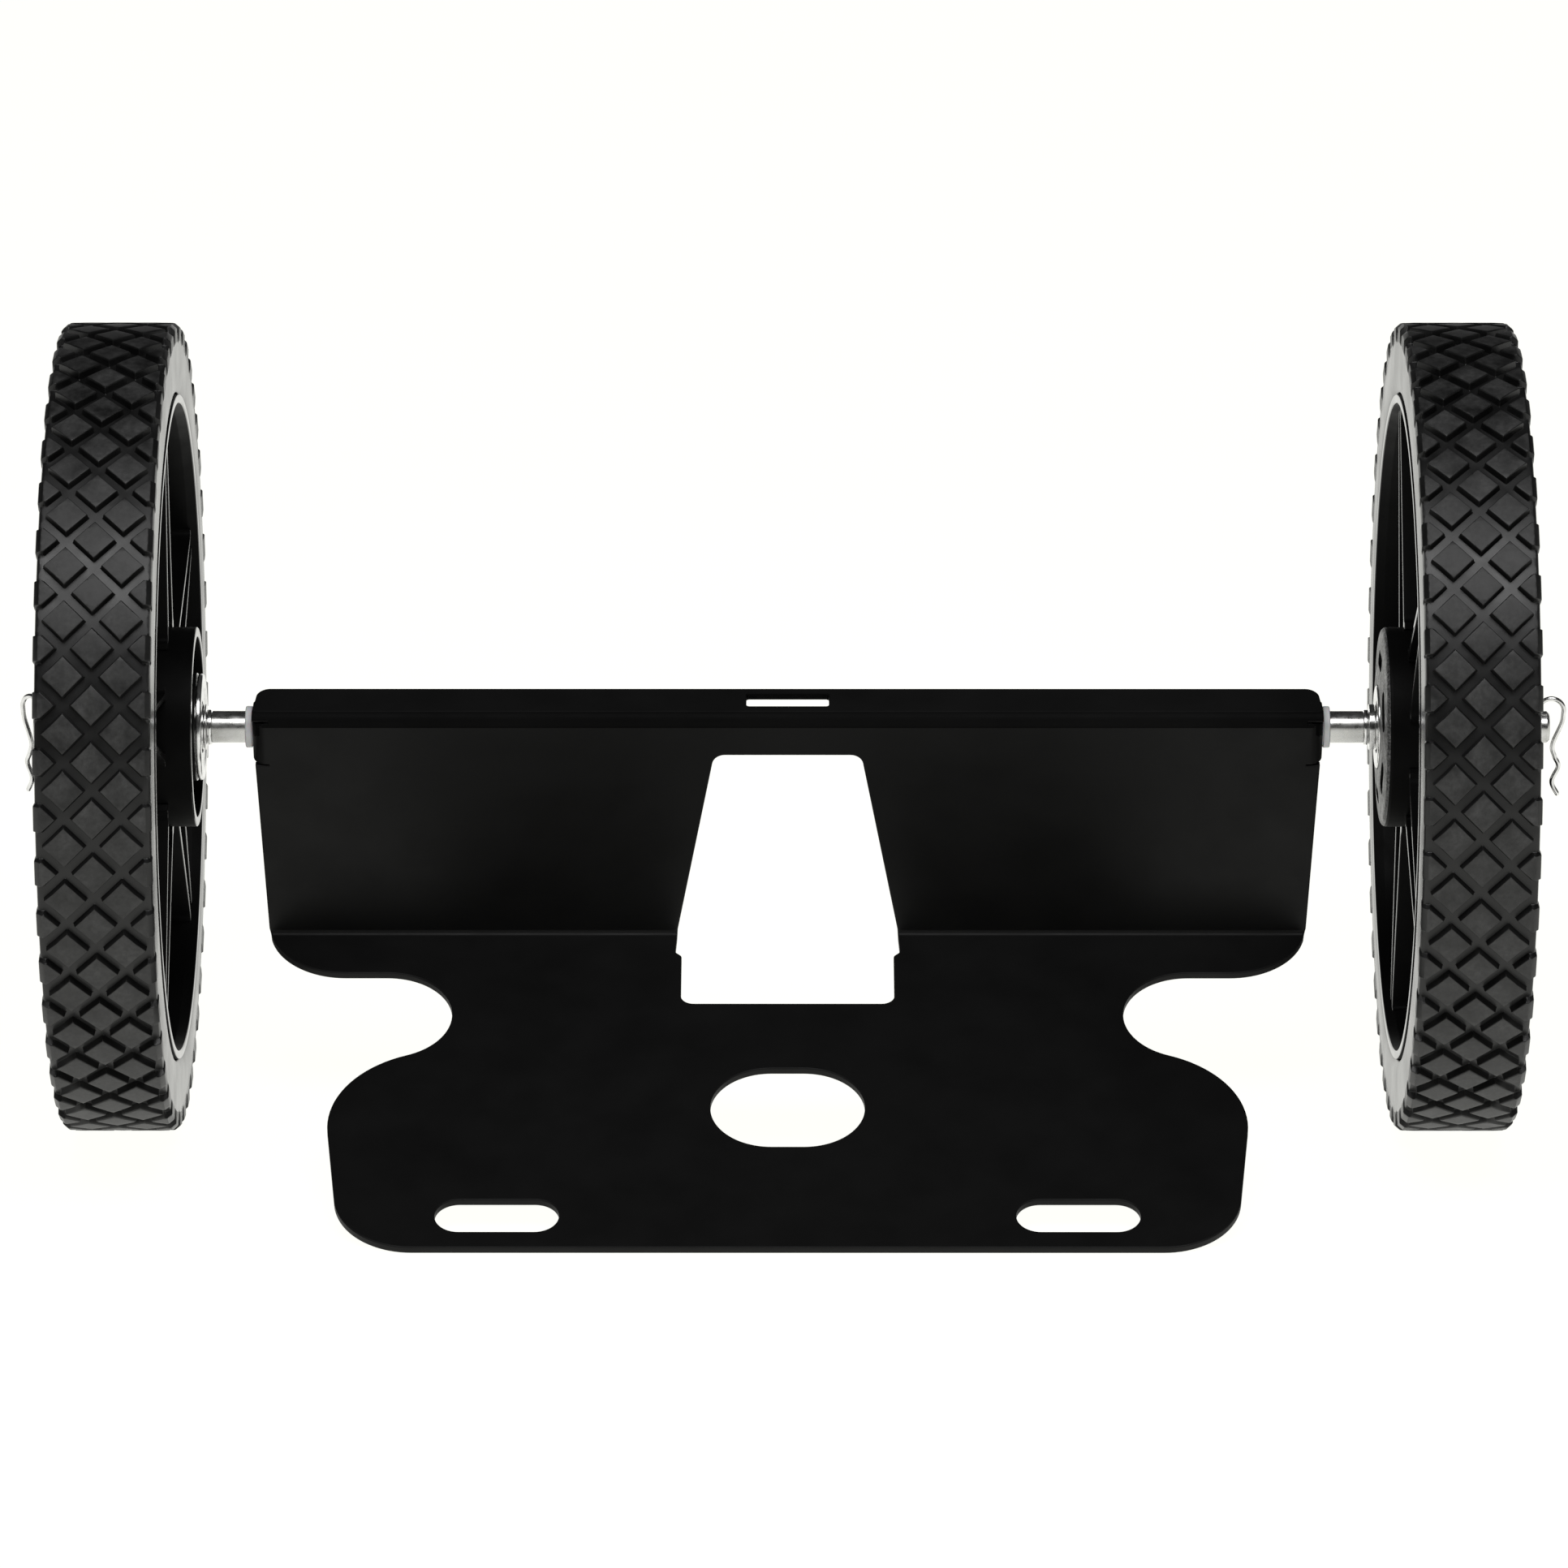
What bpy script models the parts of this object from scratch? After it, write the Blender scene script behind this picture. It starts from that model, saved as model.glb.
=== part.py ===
"""Strap-on two-wheel axle kit: a Z-bent steel plate on a 10 mm axle between two 10 inch wheels.

Sizes are in millimetres; meshes and places are scaled to metres as they are made.
World frame: X along the axle, -Y to the front, +Z up, origin on the floor below the middle.
The kit stands on both tyres and on the front edge of its deck, so the plate leans forward.
Plate frame: x across, u forward along the deck, w up from the deck, all from the axle's centre.
Wheel frame: s along the axle from the wheel's middle plane. Its open side, A, faces +s.
"""
from math import asin, atan2, ceil, copysign, cos, hypot, pi, radians, sin, tan

import bmesh
import bpy
from mathutils import Matrix, Vector

MM = 0.001
GAP = 0.3                     # clearance between neighbouring pieces
ARC_STEP = 15.0               # degrees between points on an arc of the plate

# Plate
SHEET = 2.5
BEND_INNER = 1.5
BEND_OUTER = BEND_INNER + SHEET
WALL_FRONT = 10.0             # u of the upright wall's front face
WALL_BACK = WALL_FRONT - SHEET
LIP_TOP = 11.0                # w of the rear lip's top face
LIP_REAR = -5.5               # u of the lip's rear edge
LIP_HALF = 167.0
LIP_CORNER = 4.5
FOLD_HALF = 167.9             # half-width where the lip folds into the wall
DECK_TOP = -74.9              # w of the deck's top face
DECK_BOTTOM = DECK_TOP - SHEET
DECK_FRONT = 164.0
WALL_FOOT_HALF = 165.3
SHOULDER_FRONT = 30.3
SHOULDER_RADIUS = 25.0
NOTCH_RADIUS = 21.2
NOTCH_CENTRE = (127.0, SHOULDER_FRONT + NOTCH_RADIUS)
LOBE_HALF = 142.8             # widest half-width in front of the notch
LOBE_U = 105.0
SIDE_SLANT = 6.0              # degrees that the deck's sides close in towards the front
CORNER_RADIUS = 24.5
DECK_SLOT = (38.0, 15.0)
DECK_SLOT_AT = (89.0, 149.0)
LIP_SLOT = (25.9, 6.2)
LIP_SLOT_U = 0.5
WINDOW = (48.0, 38.0)
WINDOW_U = 97.0
DRAIN_TOP = -3.8              # w of the top of the drain cut-out
DRAIN_TOP_HALF = 23.1
DRAIN_FOOT_HALF = 35.0
DRAIN_CORNER = 3.8
DRAIN_RELIEF_U = 20.0         # how far the wall's cut-out runs into the deck
DRAIN_DECK_HALF = 33.7
DRAIN_DECK_U = 45.6
EAR_OUTER = 168.0             # x of the bent-back ears that carry the axle
EAR_TOP = 8.0
EAR_BOTTOM = -7.5
EAR_HOLE = 6.1
EAR_RELIEF = 0.4

# Axle and what it holds
AXLE_RADIUS = 5.0
AXLE_ENDS = (-237.1, 239.5)   # the axle sits a little to the right in its bushings
AXLE_CHAMFER = 0.6
BORE = 5.3                    # every hole that takes the axle
RING_X = (181.1, 182.4)
RING_RADIUS = (4.85, 5.6)
GROOVE_RADIUS = 4.5
WASHER_RADIUS = 7.2
BUSHING_FLANGE = 6.55
BUSHING_BARREL = 5.75
BUSHING_X = (163.5, 170.4)
CLIP_WIRE = 0.75
CLIP_HOLE = 1.15
CLIP_X = {"left": -234.6, "right": 236.0}
CLIP_TURN = {"left": 142.0, "right": 0.0}
CLIP_LEG_END = -17.0
CLIP_EYE = 4.05
CLIP_EYE_HEIGHT = 5.25
CLIP_WAVE = ((7.5, 1.2), (4.8, -5.8), (5.6, -9.8), (6.8, -13.0), (4.9, -18.0), (6.9, -22.5))

# Wheels
WHEEL_X = {"left": -208.75, "right": 208.75}
SPOKE_PHASE = {"left": 0.5, "right": -25.0}  # degrees that the first spoke leans forward
TYRE_RADIUS = 127.0
TYRE_HALF = 17.75
TYRE_SEAT = 104.8
TYRE_SHOULDER = ((TYRE_HALF, TYRE_RADIUS - 2.3), (16.0, TYRE_RADIUS - 0.4), (12.5, TYRE_RADIUS))
RIM_OUTER = TYRE_SEAT - GAP
RIM_LIP = 101.9
RIM_SLOPE = (14.5, 100.7)
RIM_MIDDLE = 99.5
RIM_MIDDLE_HALF = 6.0
HUB_HALF = 23.25
HUB_RADIUS = 31.4
HUB_RING = 28.35
HUB_BOSS = 17.0
HUB_RECESS_FLOOR = 10.0
HUB_DOME = 1.2                # rise of side B's face, and the bevel at its edge
HUB_DOME_START = 3.0
HUB_BORE = 9.0
BEARING_SEAT = 13.3
SEAT_FLOOR = 13.2
SPOKES = 5
SPOKE_HALF = 15.4             # half-width of a spoke along the axle
SPOKE_ROOT = 21.0             # spoke width at the hub, narrowing to SPOKE_TIP at the rim
SPOKE_TIP = 8.0
SPOKE_RIB = 1.9
SPOKE_WEB = 3.0
POCKETS = 6
POCKET = (13.0, 4.6)
POCKET_AT = 21.7
POCKET_DEPTH = 8.0

# Bearings
CUP_OUTER = 13.0
CUP_INNER = 12.2
CUP_FLANGE = 16.7
CUP_BACK = 13.5
CUP_STAND = 2.0               # how far the flanged cup stands proud of the hub
CUP_STAND_PLAIN = 0.6
CUP_GROOVE = 0.4              # half-width of the step round the shield
SHIELD_HOLE = 8.3
RACE_RADIUS = 7.2
RACE_BACK = 13.8
RACE_ENDS = {"A": 25.3, "B": -24.1}
BALL_RADIUS = 2.1
BALL_CIRCLE = 9.6
BALLS = 9
BALL_S = 18.4
CAGE_HALF = (0.9, 0.4)        # half-length along the axle and half-thickness
SPACER_RADIUS = 6.9

SLOPE = TYRE_RADIUS / hypot(DECK_FRONT, DECK_BOTTOM)
LEAN = asin(SLOPE) - atan2(-DECK_BOTTOM, DECK_FRONT)
REACH = DECK_FRONT * cos(LEAN) + DECK_TOP * sin(LEAN)
AXLE_Y = (REACH - TYRE_RADIUS) / 2

FINISHES = {
    "powder_coat": ((0.012, 0.012, 0.013, 1.0), 0.42, 0.0),
    "zinc": ((0.62, 0.62, 0.60, 1.0), 0.32, 1.0),
    "polished_steel": ((0.72, 0.72, 0.71, 1.0), 0.18, 1.0),
    "tyre_rubber": ((0.030, 0.030, 0.031, 1.0), 0.62, 0.0),
    "rim_plastic": ((0.008, 0.008, 0.009, 1.0), 0.35, 0.0),
    "nylon": ((0.62, 0.60, 0.60, 1.0), 0.45, 0.0),
}


# Outlines ------------------------------------------------------------------------------------

def arc(centre, radius, start, end, step=ARC_STEP):
    """Points on an arc from start to end, in degrees, with both ends."""
    count = max(2, ceil(abs(end - start) / step))
    angles = [radians(start + (end - start) * i / count) for i in range(count + 1)]
    return [(centre[0] + radius * cos(a), centre[1] + radius * sin(a)) for a in angles]


def rounded(corners, step=ARC_STEP):
    """Closed outline through (a, b, radius) corners, each rounded to its own radius."""
    outline = []
    for i, (a, b, radius) in enumerate(corners):
        if not radius:
            outline.append((a, b))
            continue
        corner = Vector((a, b))
        before = (Vector(corners[i - 1][:2]) - corner).normalized()
        after = (Vector(corners[(i + 1) % len(corners)][:2]) - corner).normalized()
        half = before.angle(after) / 2
        centre = corner + (before + after).normalized() * radius / sin(half)
        first = corner + before * radius / tan(half) - centre
        last = corner + after * radius / tan(half) - centre
        start = atan2(first.y, first.x)
        sweep = (atan2(last.y, last.x) - start + pi) % (2 * pi) - pi
        outline += arc(centre, radius, start * 180 / pi, (start + sweep) * 180 / pi, step)
    return outline


def obround(length, width, centre=(0.0, 0.0), step=ARC_STEP):
    """Slot outline with full round ends, its length along the first axis."""
    radius = width / 2
    reach = length / 2 - radius
    right = arc((centre[0] + reach, centre[1]), radius, -90, 90, step)
    left = arc((centre[0] - reach, centre[1]), radius, 90, 270, step)
    return right + left


def mirrored(half):
    """Closed outline from the half with a positive first coordinate."""
    return half + [(-a, b) for a, b in reversed(half)]


def smooth_path(points, pieces):
    """Points along a Catmull-Rom curve through the given points."""
    ends = [2 * points[0] - points[1]] + points + [2 * points[-1] - points[-2]]
    path = []
    for p0, p1, p2, p3 in zip(ends, ends[1:], ends[2:], ends[3:]):
        for i in range(pieces):
            t = i / pieces
            slope_in = (p2 - p0) / 2
            slope_out = (p3 - p1) / 2
            path.append(p1 * (2 * t**3 - 3 * t**2 + 1) + slope_in * (t**3 - 2 * t**2 + t)
                        + p2 * (3 * t**2 - 2 * t**3) + slope_out * (t**3 - t**2))
    return path + [points[-1]]


# Plate views: each turns two outline coordinates and a depth into a point of the plate's frame.

def from_above(x, u, w):
    return (x, -u, w)


def from_front(x, w, u):
    return (x, -u, w)


def from_side(u, w, x):
    return (x, -u, w)


def along_axle(across, up, s):
    """Point of the wheel's frame from a place in a view along the axle."""
    return (s, across, up)


# Solids --------------------------------------------------------------------------------------

def as_mesh(bm):
    """Mesh from a bmesh, with its faces pointing out."""
    bmesh.ops.recalc_face_normals(bm, faces=bm.faces)
    mesh = bpy.data.meshes.new("solid")
    bm.to_mesh(mesh)
    bm.free()
    return mesh


def prism(outline, low, high, place):
    """Solid between two copies of an outline."""
    bm = bmesh.new()
    rings = [[bm.verts.new(place(a, b, level)) for a, b in outline] for level in (low, high)]
    for ring in rings:
        bm.faces.new(ring)
    for i in range(len(outline)):
        bm.faces.new((rings[0][i - 1], rings[0][i], rings[1][i], rings[1][i - 1]))
    return as_mesh(bm)


def turned(profile, segments):
    """Solid turned about X from (x, radius) points; a profile off the axis closes on itself."""
    bm = bmesh.new()
    verts = [bm.verts.new((x, 0.0, radius)) for x, radius in profile]
    pairs = list(zip(verts, verts[1:]))
    if profile[0][1] > 0:
        pairs.append((verts[-1], verts[0]))
    edges = [bm.edges.new(pair) for pair in pairs]
    bmesh.ops.spin(bm, geom=verts + edges, axis=(1, 0, 0), cent=(0, 0, 0),
                   angle=2 * pi, steps=segments, use_merge=True)
    bmesh.ops.remove_doubles(bm, verts=bm.verts, dist=0.001)
    return as_mesh(bm)


def mirror_x(profile):
    """Turned profile on the other side of the middle plane."""
    return [(-x, radius) for x, radius in profile]


def boolean(mesh, tools, operation):
    """Mesh after one exact Boolean with each tool mesh in turn."""
    for tool in tools:
        base = bpy.data.objects.new("base", mesh)
        other = bpy.data.objects.new("tool", tool)
        for thing in (base, other):
            bpy.context.collection.objects.link(thing)
        modifier = base.modifiers.new("boolean", "BOOLEAN")
        modifier.solver = "EXACT"
        modifier.operation = operation
        modifier.object = other
        graph = bpy.context.evaluated_depsgraph_get()
        mesh = bpy.data.meshes.new_from_object(base.evaluated_get(graph))
        for thing in (base, other):
            bpy.data.objects.remove(thing)
    return mesh


# Objects -------------------------------------------------------------------------------------

def finish_of(name, finish):
    """Principled material of one sub-part."""
    color, roughness, metallic = FINISHES[finish]
    material = bpy.data.materials.new(name + "_finish")
    material.use_nodes = True
    shader = material.node_tree.nodes["Principled BSDF"]
    shader.inputs["Base Color"].default_value = color
    shader.inputs["Roughness"].default_value = roughness
    shader.inputs["Metallic"].default_value = metallic
    material.diffuse_color = color
    return material


def place_object(name, data, parent, x=0.0):
    """New object under a parent, moved along the axle."""
    thing = bpy.data.objects.new(name, data)
    bpy.context.collection.objects.link(thing)
    thing.parent = parent
    thing.location = (x * MM, 0.0, 0.0)
    return thing


def add_solid(name, mesh, finish, parent, x=0.0, smooth=True):
    """Named sub-part from a mesh in millimetres, with its origin on the axle."""
    data = mesh.copy()
    data.name = name
    data.transform(Matrix.Scale(MM, 4))
    if smooth:
        data.shade_smooth()
        data.set_sharp_from_angle(angle=radians(32))
    data.materials.clear()
    data.materials.append(finish_of(name, finish))
    return place_object(name, data, parent, x)


def add_empty(name, location, lean=0.0):
    """Parent empty, in world coordinates."""
    empty = bpy.data.objects.new(name, None)
    bpy.context.collection.objects.link(empty)
    empty.location = location
    empty.rotation_euler = (lean, 0.0, 0.0)
    return empty


# Plate ---------------------------------------------------------------------------------------

def sheet_profile():
    """Side view of the folded sheet: lip, wall and deck."""
    lip_bend = (WALL_FRONT - BEND_OUTER, LIP_TOP - BEND_OUTER)
    deck_bend = (WALL_FRONT + BEND_INNER, DECK_TOP + BEND_INNER)
    front = [(LIP_REAR, LIP_TOP)] + arc(lip_bend, BEND_OUTER, 90, 0)
    front += arc(deck_bend, BEND_INNER, 180, 270) + [(DECK_FRONT, DECK_TOP)]
    back = [(DECK_FRONT, DECK_BOTTOM)] + arc(deck_bend, BEND_OUTER, 270, 180)
    back += arc(lip_bend, BEND_INNER, 0, 90) + [(LIP_REAR, LIP_TOP - SHEET)]
    return front + back


def plan_outline():
    """Lip and deck from above."""
    lip = rounded([(0, LIP_REAR, 0), (LIP_HALF, LIP_REAR, LIP_CORNER),
                   (FOLD_HALF, WALL_FRONT, 0)])
    shoulder = (WALL_FOOT_HALF - SHOULDER_RADIUS, SHOULDER_FRONT - SHOULDER_RADIUS)
    shoulder_start = asin((WALL_FRONT - shoulder[1]) / SHOULDER_RADIUS) * 180 / pi
    # The lobe's circle reaches LOBE_HALF and touches the notch's circle.
    across = NOTCH_CENTRE[0] - LOBE_HALF
    along = LOBE_U - NOTCH_CENTRE[1]
    lobe_radius = (across**2 + along**2 - NOTCH_RADIUS**2) / (2 * (NOTCH_RADIUS - across))
    lobe = (LOBE_HALF - lobe_radius, LOBE_U)
    meet = atan2(along, lobe[0] - NOTCH_CENTRE[0]) * 180 / pi
    slant = radians(SIDE_SLANT)
    corner_u = DECK_FRONT - CORNER_RADIUS
    corner_x = lobe[0] + (lobe_radius - CORNER_RADIUS - (corner_u - LOBE_U) * sin(slant)) / cos(slant)
    half = lip[1:] + arc(shoulder, SHOULDER_RADIUS, shoulder_start, 90)
    half += arc(NOTCH_CENTRE, NOTCH_RADIUS, -90, meet - 360)
    half += arc(lobe, lobe_radius, meet - 180, SIDE_SLANT)[1:]
    half += arc((corner_x, corner_u), CORNER_RADIUS, SIDE_SLANT, 90)
    return mirrored(half)


def front_outline():
    """Wall from the front, with a step at each side for the ear."""
    inside = EAR_OUTER - BEND_OUTER - 1.0
    above = EAR_TOP + EAR_RELIEF
    below = EAR_BOTTOM - EAR_RELIEF
    half = [(FOLD_HALF, LIP_TOP + 3), (FOLD_HALF, LIP_TOP), (FOLD_HALF - 0.2, above),
            (inside, above), (inside, below), (FOLD_HALF - 0.6, below),
            (WALL_FOOT_HALF, DECK_TOP), (WALL_FOOT_HALF, DECK_BOTTOM - 3)]
    return mirrored(half)


def ear(side):
    """Ear bent back from the wall's side edge, with the axle's hole."""
    outer = side * EAR_OUTER
    inner = side * (EAR_OUTER - SHEET)
    root = side * (EAR_OUTER - BEND_OUTER - 4.0)
    rear = (EAR_TOP - EAR_BOTTOM) / 2
    bent = rounded([(root, WALL_FRONT, 0), (outer, WALL_FRONT, BEND_OUTER), (outer, -rear, 0),
                    (inner, -rear, 0), (inner, WALL_BACK, BEND_INNER), (root, WALL_BACK, 0)])
    solid = prism(bent, EAR_BOTTOM, EAR_TOP, from_above)
    middle = (EAR_TOP + EAR_BOTTOM) / 2
    end = arc((0, middle), rear, 90, 270)
    shape = [(WALL_FRONT + 1, EAR_TOP)] + end + [(WALL_FRONT + 1, EAR_BOTTOM)]
    ends = sorted((side * 150.0, side * 175.0))
    trim = prism(shape, *ends, from_side)
    return boolean(solid, [trim], "INTERSECT")


def plate_cutters():
    """Slots, window, drain cut-out and axle holes."""
    deck = (DECK_BOTTOM - 2, DECK_TOP + 2)
    cutters = [prism(obround(*WINDOW, (0, WINDOW_U)), *deck, from_above)]
    for side in (-1, 1):
        centre = (side * DECK_SLOT_AT[0], DECK_SLOT_AT[1])
        cutters.append(prism(obround(*DECK_SLOT, centre), *deck, from_above))
        hole = arc((0, 0), EAR_HOLE, 0, 360)[:-1]
        ends = sorted((side * 160.0, side * 172.0))
        cutters.append(prism(hole, *ends, from_side))
    half = LIP_SLOT[0] / 2
    low = LIP_SLOT_U - LIP_SLOT[1] / 2
    high = LIP_SLOT_U + LIP_SLOT[1] / 2
    slot = rounded([(-half, low, 1), (half, low, 1), (half, high, 1), (-half, high, 1)], 30)
    cutters.append(prism(slot, LIP_TOP - SHEET - 1, LIP_TOP + 1, from_above))
    foot = DECK_BOTTOM - 2
    spread = (DRAIN_FOOT_HALF - DRAIN_TOP_HALF) / (DECK_TOP - DRAIN_TOP)
    foot_half = DRAIN_TOP_HALF + spread * (foot - DRAIN_TOP)
    wall = rounded([(-foot_half, foot, 0), (foot_half, foot, 0),
                    (DRAIN_TOP_HALF, DRAIN_TOP, DRAIN_CORNER),
                    (-DRAIN_TOP_HALF, DRAIN_TOP, DRAIN_CORNER)])
    cutters.append(prism(wall, WALL_BACK - 2, DRAIN_RELIEF_U, from_front))
    deck_cut = rounded([(-DRAIN_DECK_HALF, WALL_BACK, 0), (DRAIN_DECK_HALF, WALL_BACK, 0),
                        (DRAIN_DECK_HALF, DRAIN_DECK_U, DRAIN_CORNER + 0.7),
                        (-DRAIN_DECK_HALF, DRAIN_DECK_U, DRAIN_CORNER + 0.7)])
    cutters.append(prism(deck_cut, *deck, from_above))
    return cutters


def make_plate(parent):
    """Z-bent plate with both ears."""
    width = EAR_OUTER + 2
    sheet = prism(sheet_profile(), -width, width, from_side)
    blank = prism(plan_outline(), DECK_BOTTOM - 5, LIP_TOP + 5, from_above)
    face = prism(front_outline(), LIP_REAR - 5, DECK_FRONT + 5, from_front)
    sheet = boolean(sheet, [blank, face], "INTERSECT")
    sheet = boolean(sheet, [ear(-1), ear(1)], "UNION")
    sheet = boolean(sheet, plate_cutters(), "DIFFERENCE")
    add_solid("bracket_plate", sheet, "powder_coat", parent, smooth=False)


def make_bushing(name, side, parent):
    """Flanged nylon bushing in an ear."""
    shoulder = EAR_OUTER + GAP
    profile = [(BUSHING_X[0], BORE), (BUSHING_X[0], BUSHING_BARREL), (shoulder, BUSHING_BARREL),
               (shoulder, BUSHING_FLANGE), (BUSHING_X[1], BUSHING_FLANGE), (BUSHING_X[1], BORE)]
    profile = profile if side > 0 else mirror_x(profile)
    add_solid(name, turned(profile, 24), "nylon", parent)


# Axle ----------------------------------------------------------------------------------------

def make_axle(parent):
    """Zinc-plated rod with two ring grooves and two cross holes."""
    left, right = AXLE_ENDS
    tip = AXLE_RADIUS - AXLE_CHAMFER
    near, far = RING_X[0] - 0.1, RING_X[1] + 0.1
    profile = [(left, 0.0), (left, tip), (left + AXLE_CHAMFER, AXLE_RADIUS)]
    for low, high in ((-far, -near), (near, far)):
        profile += [(low, AXLE_RADIUS), (low, GROOVE_RADIUS),
                    (high, GROOVE_RADIUS), (high, AXLE_RADIUS)]
    profile += [(right - AXLE_CHAMFER, AXLE_RADIUS), (right, tip), (right, 0.0)]
    holes = []
    for x in CLIP_X.values():
        hole = arc((x, 0), CLIP_HOLE, 0, 360, 30)[:-1]
        holes.append(prism(hole, -AXLE_RADIUS - 1, AXLE_RADIUS + 1, from_above))
    rod = boolean(turned(profile, 24), holes, "DIFFERENCE")
    add_solid("axle", rod, "zinc", parent)


def ring_between(ends, inner, outer):
    """Plain ring between two places along the axle."""
    low, high = sorted(ends)
    return turned([(low, inner), (low, outer), (high, outer), (high, inner)], 24)


def wheel_sides(side):
    """Places of the two race ends of a wheel: towards the plate, then outboard."""
    ends = sorted((WHEEL_X[side] + s for s in RACE_ENDS.values()), key=abs)
    return ends[0], ends[1]


def make_axle_rings(side, parent):
    """Retaining ring and the two thrust washers beside one wheel."""
    sign = 1 if side == "right" else -1
    inner_race, outer_race = wheel_sides(side)
    ring = ring_between([sign * x for x in RING_X], *RING_RADIUS)
    add_solid(side + "_retaining_ring", ring, "polished_steel", parent)
    inner = (sign * (RING_X[1] + GAP), inner_race - sign * GAP)
    outer = (outer_race + sign * GAP, CLIP_X[side] - sign * (CLIP_WIRE + GAP))
    for name, ends in (("_inner_washer", inner), ("_outer_washer", outer)):
        washer = ring_between(ends, BORE, WASHER_RADIUS)
        add_solid(side + name, washer, "polished_steel", parent)


def make_clip(side, parent):
    """Hairpin clip: straight leg down the cross hole, wavy leg past the axle's end."""
    leg = [Vector((0.0, CLIP_LEG_END)), Vector((0.0, -AXLE_RADIUS - 1))]
    loop = [Vector(point) for point in arc((CLIP_EYE, CLIP_EYE_HEIGHT), CLIP_EYE, 180, 0, 20)]
    wave = [loop[-1]] + [Vector(point) for point in CLIP_WAVE]
    path = leg + loop[:-1] + smooth_path(wave, 3)
    curve = bpy.data.curves.new(side + "_hitch_clip", "CURVE")
    curve.dimensions = "3D"
    curve.bevel_depth = CLIP_WIRE * MM
    curve.bevel_resolution = 2
    curve.use_fill_caps = True
    spline = curve.splines.new("POLY")
    spline.points.add(len(path) - 1)
    for point, place in zip(spline.points, path):
        point.co = (place.x * MM, 0.0, place.y * MM, 1.0)
    curve.materials.append(finish_of(side + "_hitch_clip", "polished_steel"))
    clip = place_object(side + "_hitch_clip", curve, parent, CLIP_X[side])
    clip.rotation_euler = (0.0, 0.0, radians(CLIP_TURN[side]))


# Wheels --------------------------------------------------------------------------------------

def tyre_mesh():
    """Tyre's section with rounded shoulders, turned."""
    half = [(TYRE_HALF, TYRE_SEAT)] + list(TYRE_SHOULDER)
    return turned(half + [(-s, radius) for s, radius in reversed(half)], 48)


def hub_mesh():
    """Hub barrel: deep ring recess on side A, domed and pocketed face on side B."""
    profile = [(HUB_HALF, BEARING_SEAT), (HUB_HALF, HUB_BOSS), (HUB_RECESS_FLOOR, HUB_BOSS),
               (HUB_RECESS_FLOOR, HUB_RING), (HUB_HALF, HUB_RING), (HUB_HALF, HUB_RADIUS),
               (HUB_DOME_START - HUB_HALF, HUB_RADIUS), (HUB_DOME - HUB_HALF, HUB_RADIUS - HUB_DOME),
               (-HUB_HALF, BEARING_SEAT), (-SEAT_FLOOR, BEARING_SEAT), (-SEAT_FLOOR, HUB_BORE),
               (SEAT_FLOOR, HUB_BORE), (SEAT_FLOOR, BEARING_SEAT)]
    pockets = []
    for i in range(POCKETS):
        outline = obround(*POCKET, (0.0, POCKET_AT), 45)
        pocket = prism(outline, -HUB_HALF - 2, POCKET_DEPTH - HUB_HALF, along_axle)
        pocket.transform(Matrix.Rotation(2 * pi * i / POCKETS, 4, "X"))
        pockets.append(pocket)
    return boolean(turned(profile, 36), pockets, "DIFFERENCE")


def rim_band_mesh():
    """Rim band between the two lips."""
    half = [(TYRE_HALF, RIM_LIP), RIM_SLOPE, (RIM_MIDDLE_HALF, RIM_MIDDLE)]
    inside = [(-s, radius) for s, radius in half] + list(reversed(half))
    return turned([(-TYRE_HALF, RIM_OUTER)] + inside + [(TYRE_HALF, RIM_OUTER)], 48)


def spoke_mesh(angle):
    """H-section spoke: two full-depth ribs that draw together outwards, and a web between them."""
    wide = SPOKE_ROOT / 2
    rib = wide - SPOKE_RIB
    web = SPOKE_WEB / 2
    root = HUB_RING + 1.0
    tip = RIM_MIDDLE - 2 * GAP

    def tapered(across, s, up):
        if up > root:
            across -= copysign((SPOKE_ROOT - SPOKE_TIP) / 2, across)
        return (s, across, up)

    half = [(rib, web), (rib, SPOKE_HALF), (wide, SPOKE_HALF), (wide, -SPOKE_HALF),
            (rib, -SPOKE_HALF), (rib, -web)]
    spoke = prism(mirrored(half), root, tip, tapered)
    spoke.transform(Matrix.Rotation(angle, 4, "X"))
    return spoke


def spider_mesh(phase):
    """Hub and spokes, the middle of the moulding whose outside is the rim band."""
    spokes = [spoke_mesh(2 * pi * i / SPOKES + radians(phase)) for i in range(SPOKES)]
    return boolean(hub_mesh(), spokes, "UNION")


def cup_mesh(flanged):
    """Pressed bearing cup on side +s, with its shield; the flanged one stands proud."""
    seat = HUB_HALF + GAP
    face = HUB_HALF + (CUP_STAND if flanged else CUP_STAND_PLAIN)
    shield = (face - 1.2, face - 0.5) if flanged else (face - 1.0, face)
    profile = [(CUP_BACK, CUP_INNER), (CUP_BACK, CUP_OUTER)]
    if flanged:
        profile += [(seat, CUP_OUTER), (seat, CUP_FLANGE), (face - 0.3, CUP_FLANGE),
                    (face, CUP_FLANGE - 0.6), (face, CUP_OUTER + CUP_GROOVE)]
    else:
        profile += [(face - 0.4, CUP_OUTER)]
    profile += [(shield[1], CUP_OUTER - CUP_GROOVE), (shield[1], SHIELD_HOLE),
                (shield[0], SHIELD_HOLE), (shield[0], CUP_INNER)]
    return turned(profile, 28)


def race_profile(end):
    """Inner race on side +s, out to its end face."""
    return [(RACE_BACK, BORE), (RACE_BACK, RACE_RADIUS), (end, RACE_RADIUS), (end, BORE)]


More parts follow.
